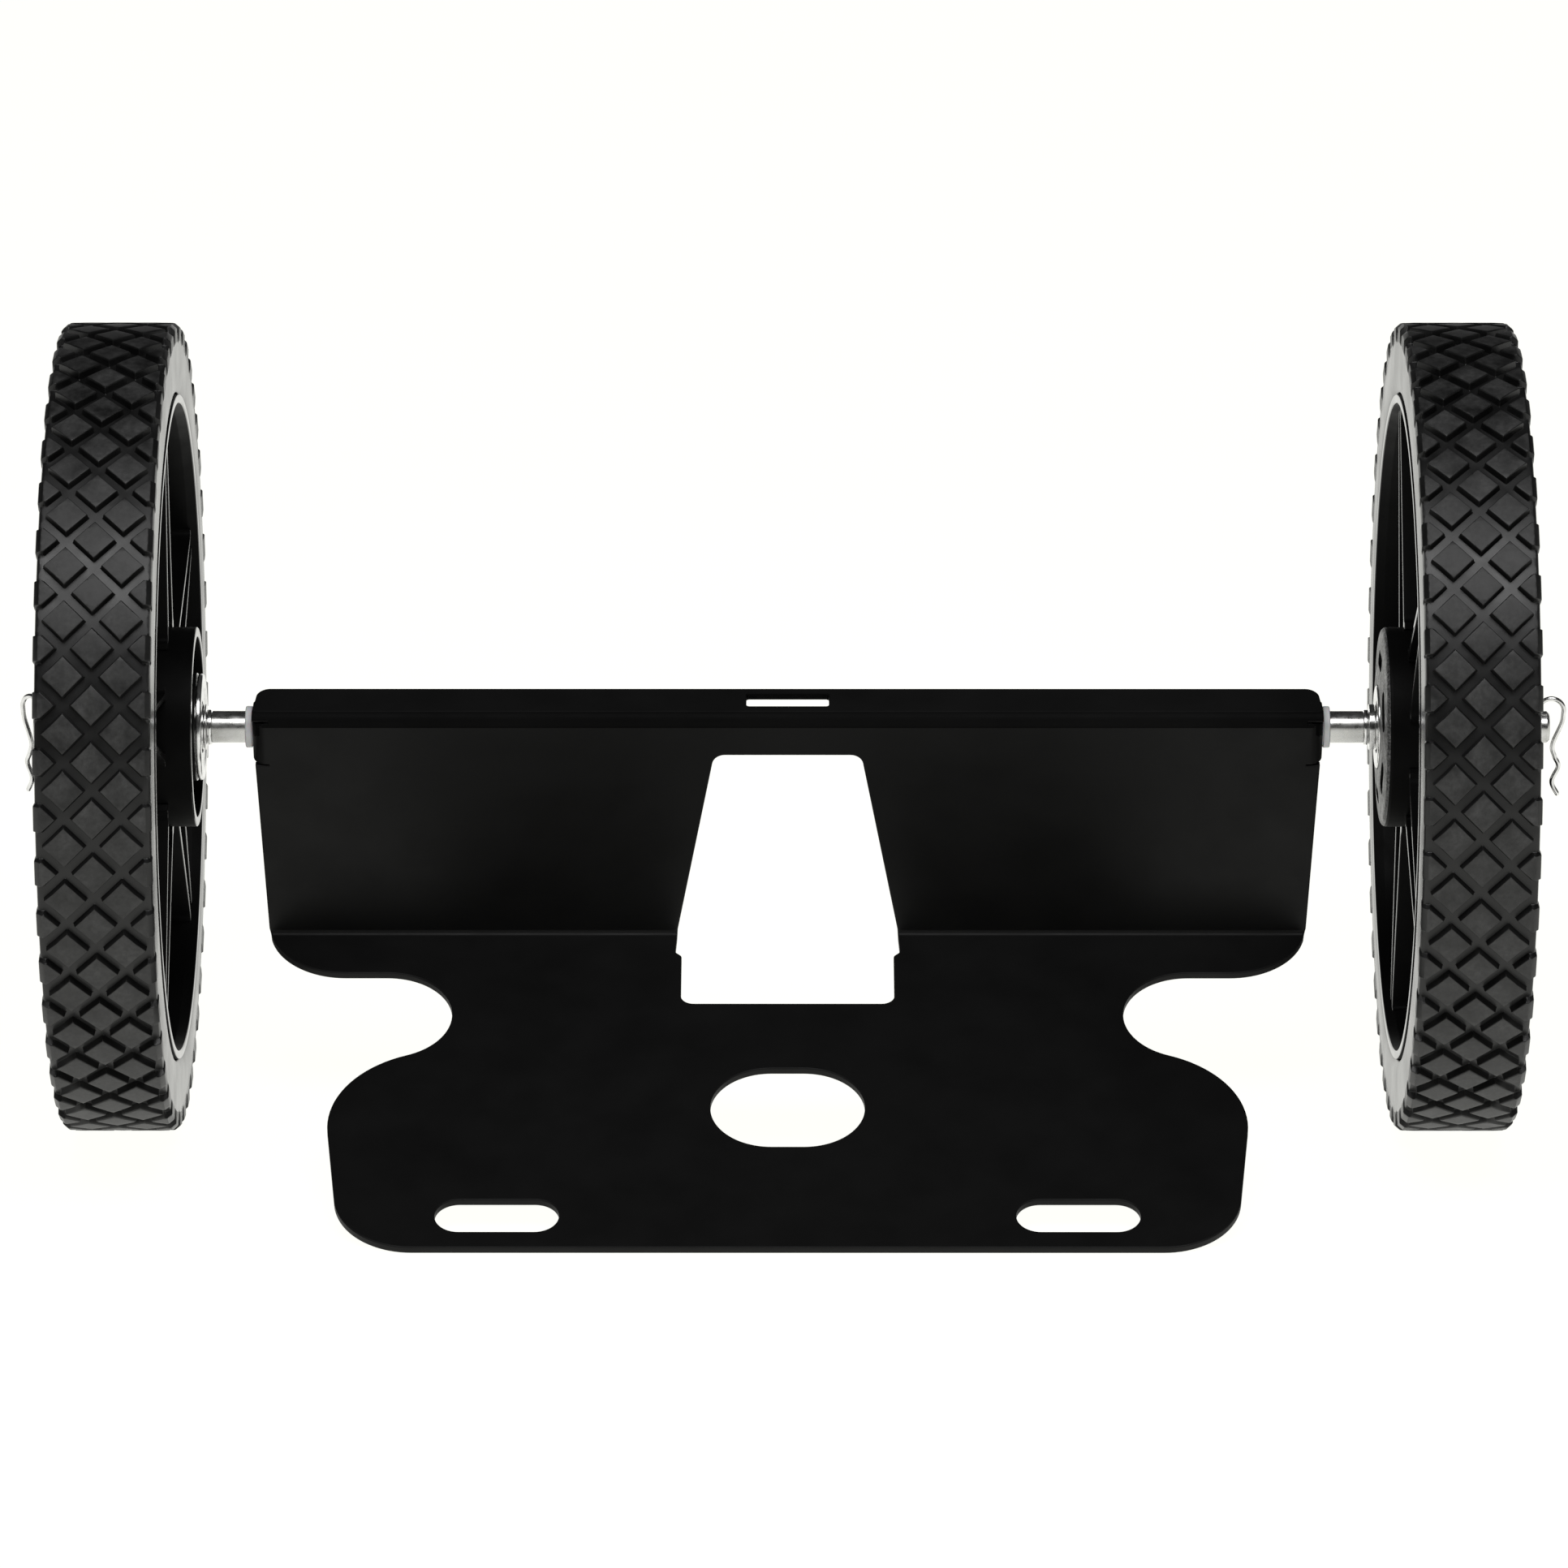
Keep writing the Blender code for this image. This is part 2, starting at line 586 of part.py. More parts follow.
def balls_mesh():
    """Ball ring on side +s: balls on a thin cage."""
    long, thick = CAGE_HALF
    cage = turned([(BALL_S - long, BALL_CIRCLE - thick), (BALL_S - long, BALL_CIRCLE + thick),
                   (BALL_S + long, BALL_CIRCLE + thick), (BALL_S + long, BALL_CIRCLE - thick)], 18)
    balls = []
    for i in range(BALLS):
        angle = 2 * pi * i / BALLS
        bm = bmesh.new()
        bmesh.ops.create_icosphere(bm, subdivisions=1, radius=BALL_RADIUS)
        place = (BALL_S, BALL_CIRCLE * sin(angle), BALL_CIRCLE * cos(angle))
        bmesh.ops.translate(bm, verts=bm.verts, vec=place)
        balls.append(as_mesh(bm))
    return boolean(cage, balls, "UNION")


def make_bearing(name, face, side, parents):
    """Cup, ball ring and inner race on one side, A or B, of a wheel."""
    x = WHEEL_X[side]
    flip = Matrix.Identity(4) if face == "A" else Matrix.Rotation(pi, 4, "Z")
    cup = cup_mesh(flanged=face == "A")
    balls = balls_mesh()
    race = turned(race_profile(abs(RACE_ENDS[face])), 24)
    for mesh in (cup, balls, race):
        mesh.transform(flip)
    add_solid(name + "_bearing_cup", cup, "polished_steel", parents["wheel"], x)
    add_solid(name + "_ball_ring", balls, "polished_steel", parents["wheel"], x)
    add_solid(name + "_bearing_race", race, "polished_steel", parents["axle"], x)


def make_wheel(side, parents):
    """Tyre, rim, spoked hub, two bearings and the spacer tube between their races."""
    x = WHEEL_X[side]
    add_solid(side + "_tyre", tyre_mesh(), "tyre_rubber", parents["wheel"], x)
    add_solid(side + "_rim", rim_band_mesh(), "rim_plastic", parents["wheel"], x)
    spider = spider_mesh(SPOKE_PHASE[side])
    add_solid(side + "_hub_and_spokes", spider, "rim_plastic", parents["wheel"], x)
    inboard, outboard = ("A", "B") if side == "left" else ("B", "A")
    make_bearing(side + "_inner", inboard, side, parents)
    make_bearing(side + "_outer", outboard, side, parents)
    reach = RACE_BACK - GAP
    spacer = ring_between((-reach, reach), BORE, SPACER_RADIUS)
    add_solid(side + "_hub_spacer", spacer, "zinc", parents["axle"], x)


def main():
    """The whole kit, on four parent empties that all sit on the axle."""
    for thing in list(bpy.data.objects):
        bpy.data.objects.remove(thing)
    centre = (0.0, AXLE_Y * MM, TYRE_RADIUS * MM)
    plate = add_empty("plate_frame", centre, LEAN)
    axle = add_empty("axle_frame", centre)
    make_plate(plate)
    make_axle(axle)
    for side, sign in (("left", -1), ("right", 1)):
        make_bushing(side + "_axle_bushing", sign, plate)
        make_axle_rings(side, axle)
        make_clip(side, axle)
        wheel = add_empty(side + "_wheel_frame", centre)
        make_wheel(side, {"wheel": wheel, "axle": axle})


main()
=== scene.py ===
from math import asin, atan2, ceil, copysign, cos, hypot, pi, radians, sin, sqrt, tan

import bmesh
import bpy
from mathutils import Matrix, Vector


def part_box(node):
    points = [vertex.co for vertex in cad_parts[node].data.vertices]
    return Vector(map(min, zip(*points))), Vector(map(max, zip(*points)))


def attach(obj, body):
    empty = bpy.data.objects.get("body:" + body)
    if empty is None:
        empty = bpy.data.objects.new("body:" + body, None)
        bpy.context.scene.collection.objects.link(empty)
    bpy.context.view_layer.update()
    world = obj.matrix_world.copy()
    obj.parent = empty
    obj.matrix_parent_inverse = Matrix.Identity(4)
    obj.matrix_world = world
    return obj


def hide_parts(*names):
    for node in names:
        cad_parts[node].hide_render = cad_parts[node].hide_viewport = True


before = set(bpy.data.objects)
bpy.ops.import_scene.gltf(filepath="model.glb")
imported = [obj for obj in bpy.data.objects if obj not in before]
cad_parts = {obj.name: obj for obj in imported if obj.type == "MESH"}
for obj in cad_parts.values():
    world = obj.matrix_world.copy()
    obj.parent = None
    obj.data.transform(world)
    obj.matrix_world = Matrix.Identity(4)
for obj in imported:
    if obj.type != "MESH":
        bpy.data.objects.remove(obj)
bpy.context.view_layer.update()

# Detailed pieces and finishes for the strap-on wheel axle kit. Sizes are in millimetres.
# Wheel frame: s along the axle (world X) from a wheel's middle plane, side A towards +s.
# Plate frame: x across, u forward along the deck, w up from the deck, from the axle's centre.

MM = 0.001
SIDES = {"left": -1, "right": 1}


def middle(node):
    """Centre of a CAD node's box, in millimetres."""
    low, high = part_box(node)
    return (low + high) / (2 * MM)


AXLE = middle("axle")
AXLE.x = 0.0
WHEEL_X = {side: middle(side + "_tyre").x for side in SIDES}

# Plate
SHEET = 2.5
HALF_SHEET = SHEET / 2
BEND = 2.75                   # bend radius at the middle of the sheet
BEND_LENGTH = BEND * pi / 2
EDGE_ROUND = 0.45             # rounding of the sheet's cut edges
LIP_REAR = -5.5
LIP_HALF = 167.0
LIP_CORNER = 4.5
FOLD_HALF = 167.9
LIP_FOLD = (6.0, 7.0)         # centres (u, w) of the two bends
DECK_FOLD = (11.5, -73.4)
DECK_FRONT = 164.0
DECK_BOTTOM = -77.4
WALL_FOOT_HALF = 165.3
SHOULDER_FRONT = 30.3
SHOULDER_RADIUS = 25.0
NOTCH_RADIUS = 21.2
NOTCH_CENTRE = (127.0, SHOULDER_FRONT + NOTCH_RADIUS)
LOBE_HALF = 142.8
LOBE_U = 105.0
SIDE_SLANT = 6.0
CORNER_RADIUS = 24.5
DECK_SLOT = (38.0, 15.0)
DECK_SLOT_AT = (89.0, 149.0)
LIP_SLOT = (25.9, 6.2)
LIP_SLOT_U = 0.5
WINDOW = (48.0, 38.0)
WINDOW_U = 97.0
DRAIN_TOP = -3.8
DRAIN_TOP_HALF = 23.1
DRAIN_FOOT_HALF = 35.0
DRAIN_RELIEF = (35.7, 20.5)
DRAIN_DECK_HALF = 33.7
DRAIN_DECK_U = 45.6
DRAIN_CORNER = 4.0
EAR_FOLD = 164.0              # x where an ear bends back
EAR_TOP = 8.0
EAR_BOTTOM = -7.5
EAR_HOLE = 6.1
EAR_RELIEF = 0.4
EAR_ROOT = 163.0

# Axle and the rings on it
AXLE_RADIUS = 5.0
AXLE_CHAMFER = 0.8
GROOVE_RADIUS = 4.5
BORE = 5.3
CLIP_WIRE = 0.75
CLIP_HOLE = 1.15
CLIP_TURN = {"left": 142.0, "right": 0.0}
CLIP_INSET = {"left": 2.5, "right": 3.5}   # from the axle's end to the clip's hole
CLIP_LEG_END = -17.0
CLIP_EYE = 4.05
CLIP_EYE_HEIGHT = 5.25
CLIP_WAVE = ((7.5, 1.2), (4.8, -5.8), (5.6, -9.8), (6.8, -13.0), (4.9, -18.0), (6.9, -22.5))
RING_BORE = 4.85
RING_SWEEP = 325.0            # a retaining ring's arc, open over the rest
BUSHING_BARREL = 5.75
BUSHING_FLANGE = 6.55
BUSHING_SHOULDER = 168.3      # x where the barrel meets the flange

# Wheels
SPOKE_PHASE = {"left": 0.5, "right": -25.0}
TREAD_PHASE = {"left": 6.7, "right": 5.75}
TYRE_RADIUS = 127.0
PITCHES = 46
PITCH = 2 * pi * TYRE_RADIUS / PITCHES
COLUMN = 8.6                  # spacing of the tread's columns along the axle
SHOULDER_S = 2 * COLUMN
# Height of a block, from 1 on its top to 0 in the groove, by distance from its centre in pitches
BLOCK_RISE = ((0.0, 1.0), (0.17, 1.0), (0.338, 1.0), (0.354, 0.94), (0.362, 0.8), (0.384, 0.08),
              (0.396, 0.0), (0.5, 0.0))
# The same for a shoulder block, whose ends are square, by distance along the tread
SHOULDER_RISE = ((0.0, 1.0), (3.75, 1.0), (3.95, 0.92), (4.35, 0.06), (4.5, 0.0), (PITCH, 0.0))
# Distance along the section from the middle, then (s, radius) in a groove and on a block
TYRE_SECTION = (
    (0.0, (0.0, 124.6), (0.0, 127.0)),
    (12.0, (12.0, 124.6), (12.0, 127.0)),
    (15.3, (15.3, 124.55), (15.7, 126.9)),
    (15.8, (16.3, 124.5), (16.2, 126.8)),
    (17.2, (17.05, 124.2), (17.5, 125.7)),
    (17.7, (17.3, 123.7), (17.75, 125.3)),
    (20.0, (17.4, 121.6), (17.75, 122.2)),
    (20.7, (17.42, 121.0), (17.65, 121.2)),
    (21.3, (17.44, 120.5), (17.44, 120.5)),
    (24.0, (17.55, 118.0), (17.55, 118.0)),
    (28.0, (17.68, 114.2), (17.68, 114.2)),
    (31.0, (17.72, 111.0), (17.72, 111.0)),
    (34.0, (17.6, 108.0), (17.6, 108.0)),
    (36.0, (17.3, 106.2), (17.3, 106.2)),
    (37.2, (16.8, 105.2), (16.8, 105.2)),
    (38.0, (16.0, 104.8), (16.0, 104.8)),
)
RIM_OUTER = 104.5
RIM_HALF = 17.75
RIM_LIP = 101.9
RIM_SLOPE = (14.5, 100.7)
RIM_MIDDLE = 99.5
RIM_MIDDLE_HALF = 6.0
HUB_HALF = 23.25
HUB_RADIUS = 31.4
HUB_RING = 28.35
HUB_BOSS = 17.0
HUB_RECESS_FLOOR = 10.0
HUB_BORE = 9.0
HUB_DOME = 1.2
BEARING_SEAT = 13.3
SEAT_FLOOR = 13.2
SPOKES = 5
SPOKE_HALF = 15.4
SPOKE_ROOT = 21.0
SPOKE_TIP = 8.0
SPOKE_RIB = 1.9
SPOKE_WEB = 3.0
SPOKE_FILLET = 3.0
POCKETS = 6
POCKET = (13.0, 4.6)
POCKET_AT = 21.7
POCKET_DEPTH = 8.0
CUP_OUTER = 13.0
CUP_INNER = 12.2
CUP_FLANGE = 16.7
CUP_BACK = 13.5
CUP_SEAT = HUB_HALF + 0.3
CUP_STAND = 2.0               # how far the flanged cup stands proud of the hub
CUP_STAND_PLAIN = 0.6
CUP_GROOVE = 0.4              # half-width of the step round the shield
SHIELD_HOLE = 8.3
BALL_RADIUS = 2.1
BALL_CIRCLE = 9.6
BALLS = 9
BALL_S = 18.4
CAGE_HALF = (0.9, 0.4)

LEAN = asin(TYRE_RADIUS / hypot(DECK_FRONT, DECK_BOTTOM)) - atan2(-DECK_BOTTOM, DECK_FRONT)

# Camera, and the light in metres and watts
CAMERA_ELEVATION = 17.8
CAMERA_DISTANCE = 2630.0
CAMERA_LENS = 191.9
AIM_LEFT = 1.15
AIM_BELOW = 18.0
LIGHT_AT = (0.0, -1.0, 1.95)
LIGHT_SIZE = (2.0, 0.9)
LIGHT_POWER = 30.0


# Outlines ------------------------------------------------------------------------------------

def arc(centre, radius, start, end, step=6.0):
    """Points on an arc from start to end, in degrees, with both ends."""
    count = max(2, ceil(abs(end - start) / step))
    angles = [radians(start + (end - start) * i / count) for i in range(count + 1)]
    return [(centre[0] + radius * cos(a), centre[1] + radius * sin(a)) for a in angles]


def rounded(corners, step=12.0):
    """Closed outline through (a, b, radius) corners, each rounded to its own radius."""
    outline = []
    for i, (a, b, radius) in enumerate(corners):
        if not radius:
            outline.append((a, b))
            continue
        corner = Vector((a, b))
        before = (Vector(corners[i - 1][:2]) - corner).normalized()
        after = (Vector(corners[(i + 1) % len(corners)][:2]) - corner).normalized()
        half = before.angle(after) / 2
        centre = corner + (before + after).normalized() * radius / sin(half)
        first = corner + before * radius / tan(half) - centre
        last = corner + after * radius / tan(half) - centre
        start = atan2(first.y, first.x)
        sweep = (atan2(last.y, last.x) - start + pi) % (2 * pi) - pi
        outline += arc(centre, radius, start * 180 / pi, (start + sweep) * 180 / pi, step)
    return outline


def obround(length, width, centre, step=6.0):
    """Slot outline with full round ends, its length along the first axis."""
    radius = width / 2
    reach = length / 2 - radius
    right = arc((centre[0] + reach, centre[1]), radius, -90, 90, step)
    left = arc((centre[0] - reach, centre[1]), radius, 90, 270, step)
    return right + left


def mirrored(half):
    """Closed outline from the half with a positive first coordinate."""
    return half + [(-a, b) for a, b in reversed(half)]


def inset(loop, depth):
    """Loop moved to its left by a depth."""
    moved = []
    for i, point in enumerate(loop):
        here = Vector(point)
        before = (here - Vector(loop[i - 1])).normalized()
        after = (Vector(loop[(i + 1) % len(loop)]) - here).normalized()
        left = Vector((-before.y - after.y, before.x + after.x)).normalized()
        stretch = max(0.5, sqrt(max(0.0, (1 + before.dot(after)) / 2)))
        moved.append(tuple(here + left * depth / stretch))
    return moved


def along(table, value, column):
    """Straight-line reading of a table's column at a value of its first column."""
    for low, high in zip(table, table[1:]):
        if value <= high[0]:
            part = (value - low[0]) / (high[0] - low[0])
            a, b = low[column], high[column]
            if isinstance(a, tuple):
                return [x + (y - x) * part for x, y in zip(a, b)]
            return a + (b - a) * part
    return table[-1][column]


# Meshes --------------------------------------------------------------------------------------

def as_mesh(bm):
    """Mesh from a bmesh, with its faces pointing out."""
    bmesh.ops.recalc_face_normals(bm, faces=bm.faces)
    mesh = bpy.data.meshes.new("piece")
    bm.to_mesh(mesh)
    bm.free()
    return mesh


def turned(profile, segments=96, sweep=360.0):
    """Mesh turned about X from a closed (x, radius) outline, capped where it stops short."""
    bm = bmesh.new()
    whole = sweep == 360.0
    rings = []
    for i in range(segments if whole else segments + 1):
        turn = radians(sweep) * i / segments
        rings.append([bm.verts.new((x, -r * sin(turn), r * cos(turn))) for x, r in profile])
    for i in range(segments):
        ring, following = rings[i], rings[(i + 1) % len(rings)]
        for j in range(len(profile)):
            k = (j + 1) % len(profile)
            if profile[j][1] + profile[k][1] > 0:
                bm.faces.new((ring[j], ring[k], following[k], following[j]))
    if not whole:
        bm.faces.new(rings[0])
        bm.faces.new(rings[-1])
    bmesh.ops.remove_doubles(bm, verts=bm.verts, dist=0.001)
    return as_mesh(bm)


def loft(sections):
    """Solid through a row of closed sections with the same number of points."""
    bm = bmesh.new()
    rows = [[bm.verts.new(point) for point in section] for section in sections]
    for row in (rows[0], rows[-1]):
        bm.faces.new(row)
    for near, far in zip(rows, rows[1:]):
        for i in range(len(near)):
            bm.faces.new((near[i - 1], near[i], far[i], far[i - 1]))
    return as_mesh(bm)


def cut(bm, at, normal, merge, clear=False):
    """Cut across a whole bmesh by a plane, dropping what lies beyond it if asked."""
    everything = bm.verts[:] + bm.edges[:] + bm.faces[:]
    bmesh.ops.bisect_plane(bm, geom=everything, dist=merge, plane_co=at, plane_no=normal,
                           clear_outer=clear)


def boolean(mesh, tools, operation):
    """Mesh after one exact Boolean with each tool mesh in turn."""
    for tool in tools:
        base = bpy.data.objects.new("base", mesh)
        other = bpy.data.objects.new("tool", tool)
        for thing in (base, other):
            bpy.context.collection.objects.link(thing)
        modifier = base.modifiers.new("boolean", "BOOLEAN")
        modifier.solver = "EXACT"
        modifier.operation = operation
        modifier.object = other
        graph = bpy.context.evaluated_depsgraph_get()
        mesh = bpy.data.meshes.new_from_object(base.evaluated_get(graph))
        for thing in (base, other):
            bpy.data.objects.remove(thing)
    return mesh


def add_piece(name, mesh, finishes, body, nodes, at=(0.0, 0.0, 0.0), lean=0.0, paint=None):
    mesh.name = name
    mesh.transform(Matrix.Rotation(lean, 4, "X") @ Matrix.Scale(MM, 4))
    mesh.materials.clear()
    for finish in finishes:
        mesh.materials.append(finish)
    for face in mesh.polygons:
        face.material_index = paint(face.center / MM, face.normal) if paint else 0
    mesh.shade_smooth()
    mesh.set_sharp_from_angle(angle=radians(38))
    piece = bpy.data.objects.new(name, mesh)
    bpy.context.collection.objects.link(piece)
    piece.matrix_world = Matrix.Translation((AXLE + Vector(at)) * MM)
    modifier = piece.modifiers.new("flat faces", "WEIGHTED_NORMAL")
    modifier.keep_sharp = True
    modifier.weight = 100
    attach(piece, body)
    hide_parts(*nodes)
    return piece


# Materials -----------------------------------------------------------------------------------

class Finish:
    """Principled material with short ways to add noise, ramps and bump."""

    def __init__(self, name, **sockets):
        self.material = bpy.data.materials.new(name)
        self.material.use_nodes = True
        self.nodes = self.material.node_tree.nodes
        self.links = self.material.node_tree.links
        self.shader = self.nodes["Principled BSDF"]
        self.place = self.nodes.new("ShaderNodeTexCoord").outputs["Object"]
        for socket, value in sockets.items():
            self.shader.inputs[socket.replace("_", " ")].default_value = value

    def stretched(self, scale):
        """Object coordinates scaled by three factors."""
        node = self.nodes.new("ShaderNodeMapping")
        node.inputs["Scale"].default_value = scale
        self.links.new(self.place, node.inputs["Vector"])
        return node.outputs["Vector"]

    def noise(self, scale, detail=3.0, roughness=0.55, stretch=None):
        """Noise of a scale in cells per metre."""
        node = self.nodes.new("ShaderNodeTexNoise")
        node.inputs["Scale"].default_value = scale
        node.inputs["Detail"].default_value = detail
        node.inputs["Roughness"].default_value = roughness
        source = self.stretched(stretch) if stretch else self.place
        self.links.new(source, node.inputs["Vector"])
        return node.outputs["Fac"]

    def spots(self, scale):
        """Distance to scattered cell centres."""
        node = self.nodes.new("ShaderNodeTexVoronoi")
        node.inputs["Scale"].default_value = scale
        self.links.new(self.place, node.inputs["Vector"])
        return node.outputs["Distance"]

    def ramp(self, value, low, high, start=0.35, end=0.65):
        """Value run between two greys or colours."""
        node = self.nodes.new("ShaderNodeValToRGB")
        ends = node.color_ramp.elements
        for element, position, tone in ((ends[0], start, low), (ends[1], end, high)):
            element.position = position
            element.color = (tone, tone, tone, 1.0) if isinstance(tone, float) else (*tone, 1.0)
        self.links.new(value, node.inputs["Fac"])
        return node.outputs["Color"]

    def mixed(self, first, second, kind="MULTIPLY", factor=1.0):
        """Two colours mixed."""
        node = self.nodes.new("ShaderNodeMixRGB")
        node.blend_type = kind
        node.inputs["Fac"].default_value = factor
        self.links.new(first, node.inputs["Color1"])
        self.links.new(second, node.inputs["Color2"])
        return node.outputs["Color"]

    def feed(self, socket, value):
        """Link a value to one of the shader's sockets."""
        self.links.new(value, self.shader.inputs[socket])

    def bump(self, *layers):
        """Chain of (height, strength, distance in millimetres) bumps."""
        previous = None
        for height, strength, distance in layers:
            node = self.nodes.new("ShaderNodeBump")
            node.inputs["Strength"].default_value = strength
            node.inputs["Distance"].default_value = distance * MM
            self.links.new(height, node.inputs["Height"])
            if previous:
                self.links.new(previous, node.inputs["Normal"])
            previous = node.outputs["Normal"]
        self.links.new(previous, self.shader.inputs["Normal"])


def powder_coat(name, specular):
    """Black satin coat of the plate."""
    finish = Finish(name, Specular_IOR_Level=specular)
    grain = finish.noise(900.0, 2.0)
    cloud = finish.noise(14.0, 4.0)
    finish.feed("Base Color", finish.ramp(cloud, 0.0035, 0.0055))
    finish.feed("Roughness", finish.ramp(finish.noise(60.0, 5.0), 0.46, 0.56))
    finish.bump((grain, 0.10, 0.05), (cloud, 0.05, 0.3))
    return finish.material


def tread_rubber():
    """Dusty tops of the tread's blocks."""
    finish = Finish("tread_rubber", Specular_IOR_Level=0.42)
    dust = finish.noise(110.0, 6.0, 0.62)
    scuff = finish.noise(700.0, 4.0, 0.6)
    dusty = finish.ramp(dust, 0.004, 0.040, 0.32, 0.7)
    speckle = finish.ramp(scuff, 0.75, 1.35, 0.35, 0.7)
    finish.feed("Base Color", finish.mixed(dusty, speckle))
    finish.feed("Roughness", finish.ramp(dust, 0.46, 0.62))
    finish.bump((scuff, 0.25, 0.08), (dust, 0.12, 0.3))
    return finish.material


def groove_rubber():
    """Clean rubber of the tread's walls and grooves."""
    finish = Finish("groove_rubber", Specular_IOR_Level=0.42)
    cloud = finish.noise(80.0, 4.0)
    finish.feed("Base Color", finish.ramp(cloud, 0.004, 0.008))
    finish.feed("Roughness", finish.ramp(cloud, 0.32, 0.44))
    finish.bump((finish.noise(600.0, 3.0), 0.12, 0.05))
    return finish.material


def sidewall_rubber():
    """Smooth rubber of the tyre's sides."""
    finish = Finish("sidewall_rubber", Specular_IOR_Level=0.5)
    cloud = finish.noise(26.0, 4.0)
    finish.feed("Base Color", finish.ramp(cloud, 0.010, 0.016))
    finish.feed("Roughness", finish.ramp(finish.noise(45.0, 5.0), 0.19, 0.25))
    finish.bump((finish.noise(500.0, 3.0), 0.012, 0.04), (cloud, 0.012, 0.3))
    return finish.material


def rim_plastic():
    """Darker plastic with almost no specular reflection on the moulding's remaining faces: painted
    shade inside the band, on the barrel and on the spokes.
    """
    finish = Finish("rim_plastic", Specular_IOR_Level=0.05)
    cloud = finish.noise(40.0, 4.0)
    finish.feed("Base Color", finish.ramp(cloud, 0.0025, 0.0045))
    finish.feed("Roughness", finish.ramp(finish.noise(90.0, 5.0), 0.42, 0.54))
    finish.bump((finish.noise(1200.0, 2.0), 0.05, 0.04), (cloud, 0.05, 0.3))
    return finish.material


def rim_face_plastic_painted_highlight():
    """Smooth faces of the moulding that lie square to the axle, in a paler, strongly reflecting
    copy of the plastic: a painted highlight on the lips.
    """
    finish = Finish("rim_face_plastic_painted_highlight", Specular_IOR_Level=1.0)
    cloud = finish.noise(40.0, 4.0)
    finish.feed("Base Color", finish.ramp(cloud, 0.006, 0.010))
    finish.feed("Roughness", finish.ramp(finish.noise(90.0, 5.0), 0.10, 0.16))
    finish.bump((cloud, 0.01, 0.2))
    return finish.material


def speckled_plastic():
    """Coarse grain of the hub's outer face."""
    finish = Finish("speckled_plastic", Specular_IOR_Level=0.6)
    grain = finish.noise(1500.0, 3.0, 0.7)
    finish.feed("Base Color", finish.ramp(grain, 0.01, 0.22, 0.44, 0.68))
    finish.feed("Roughness", finish.ramp(finish.noise(300.0, 3.0), 0.3, 0.5))
    finish.bump((grain, 0.8, 0.35), (finish.spots(900.0), 0.4, 0.2))
    return finish.material


def zinc_steel():
    """Mottled plating of the rod and of the tubes between the bearings."""
    finish = Finish("zinc_steel", Metallic=1.0)
    mottle = finish.noise(420.0, 5.0, 0.65, stretch=(0.55, 1.0, 1.0))
    blotch = finish.noise(120.0, 3.0)
    tone = finish.ramp(mottle, (0.52, 0.52, 0.50), (0.80, 0.80, 0.79), 0.3, 0.7)
    finish.feed("Base Color", finish.mixed(tone, finish.ramp(blotch, 0.85, 1.0)))
    finish.feed("Roughness", finish.ramp(mottle, 0.22, 0.38))
    finish.bump((mottle, 0.25, 0.06), (blotch, 0.1, 0.15))
    return finish.material


def bright_steel():
    """Polished steel of the bearings, rings, washers and clips."""
    finish = Finish("bright_steel", Metallic=1.0)
    mottle = finish.noise(500.0, 4.0)
    finish.feed("Base Color", finish.ramp(mottle, (0.66, 0.66, 0.65), (0.80, 0.80, 0.80)))
    finish.feed("Roughness", finish.ramp(finish.noise(300.0, 4.0), 0.14, 0.26))
    finish.bump((mottle, 0.1, 0.04))
    return finish.material


def nylon():
    """Pale plastic of the bushings."""
    finish = Finish("nylon", Specular_IOR_Level=0.5, Subsurface_Weight=0.2, Subsurface_Scale=0.001)
    cloud = finish.noise(200.0, 3.0)
    finish.feed("Base Color", finish.ramp(cloud, (0.82, 0.81, 0.83), (0.90, 0.89, 0.91)))
    finish.feed("Roughness", finish.ramp(cloud, 0.36, 0.48))
    finish.bump((finish.noise(900.0, 2.0), 0.08, 0.04))
    return finish.material


# Plate ---------------------------------------------------------------------------------------
# The sheet is cut flat in (x, v), v running from the lip over the wall to the deck, and folded.

WALL_LENGTH = LIP_FOLD[1] - DECK_FOLD[1]
DECK_V = WALL_LENGTH + BEND_LENGTH - DECK_FOLD[0]       # v of the deck, less u
LIP_V = -BEND_LENGTH - LIP_FOLD[0]                      # v of the lip, less u
EAR_V = (LIP_FOLD[1] - EAR_TOP, LIP_FOLD[1] - EAR_BOTTOM)
EAR_REACH = EAR_FOLD + BEND_LENGTH + LIP_FOLD[0]        # flat x of the axle's centre


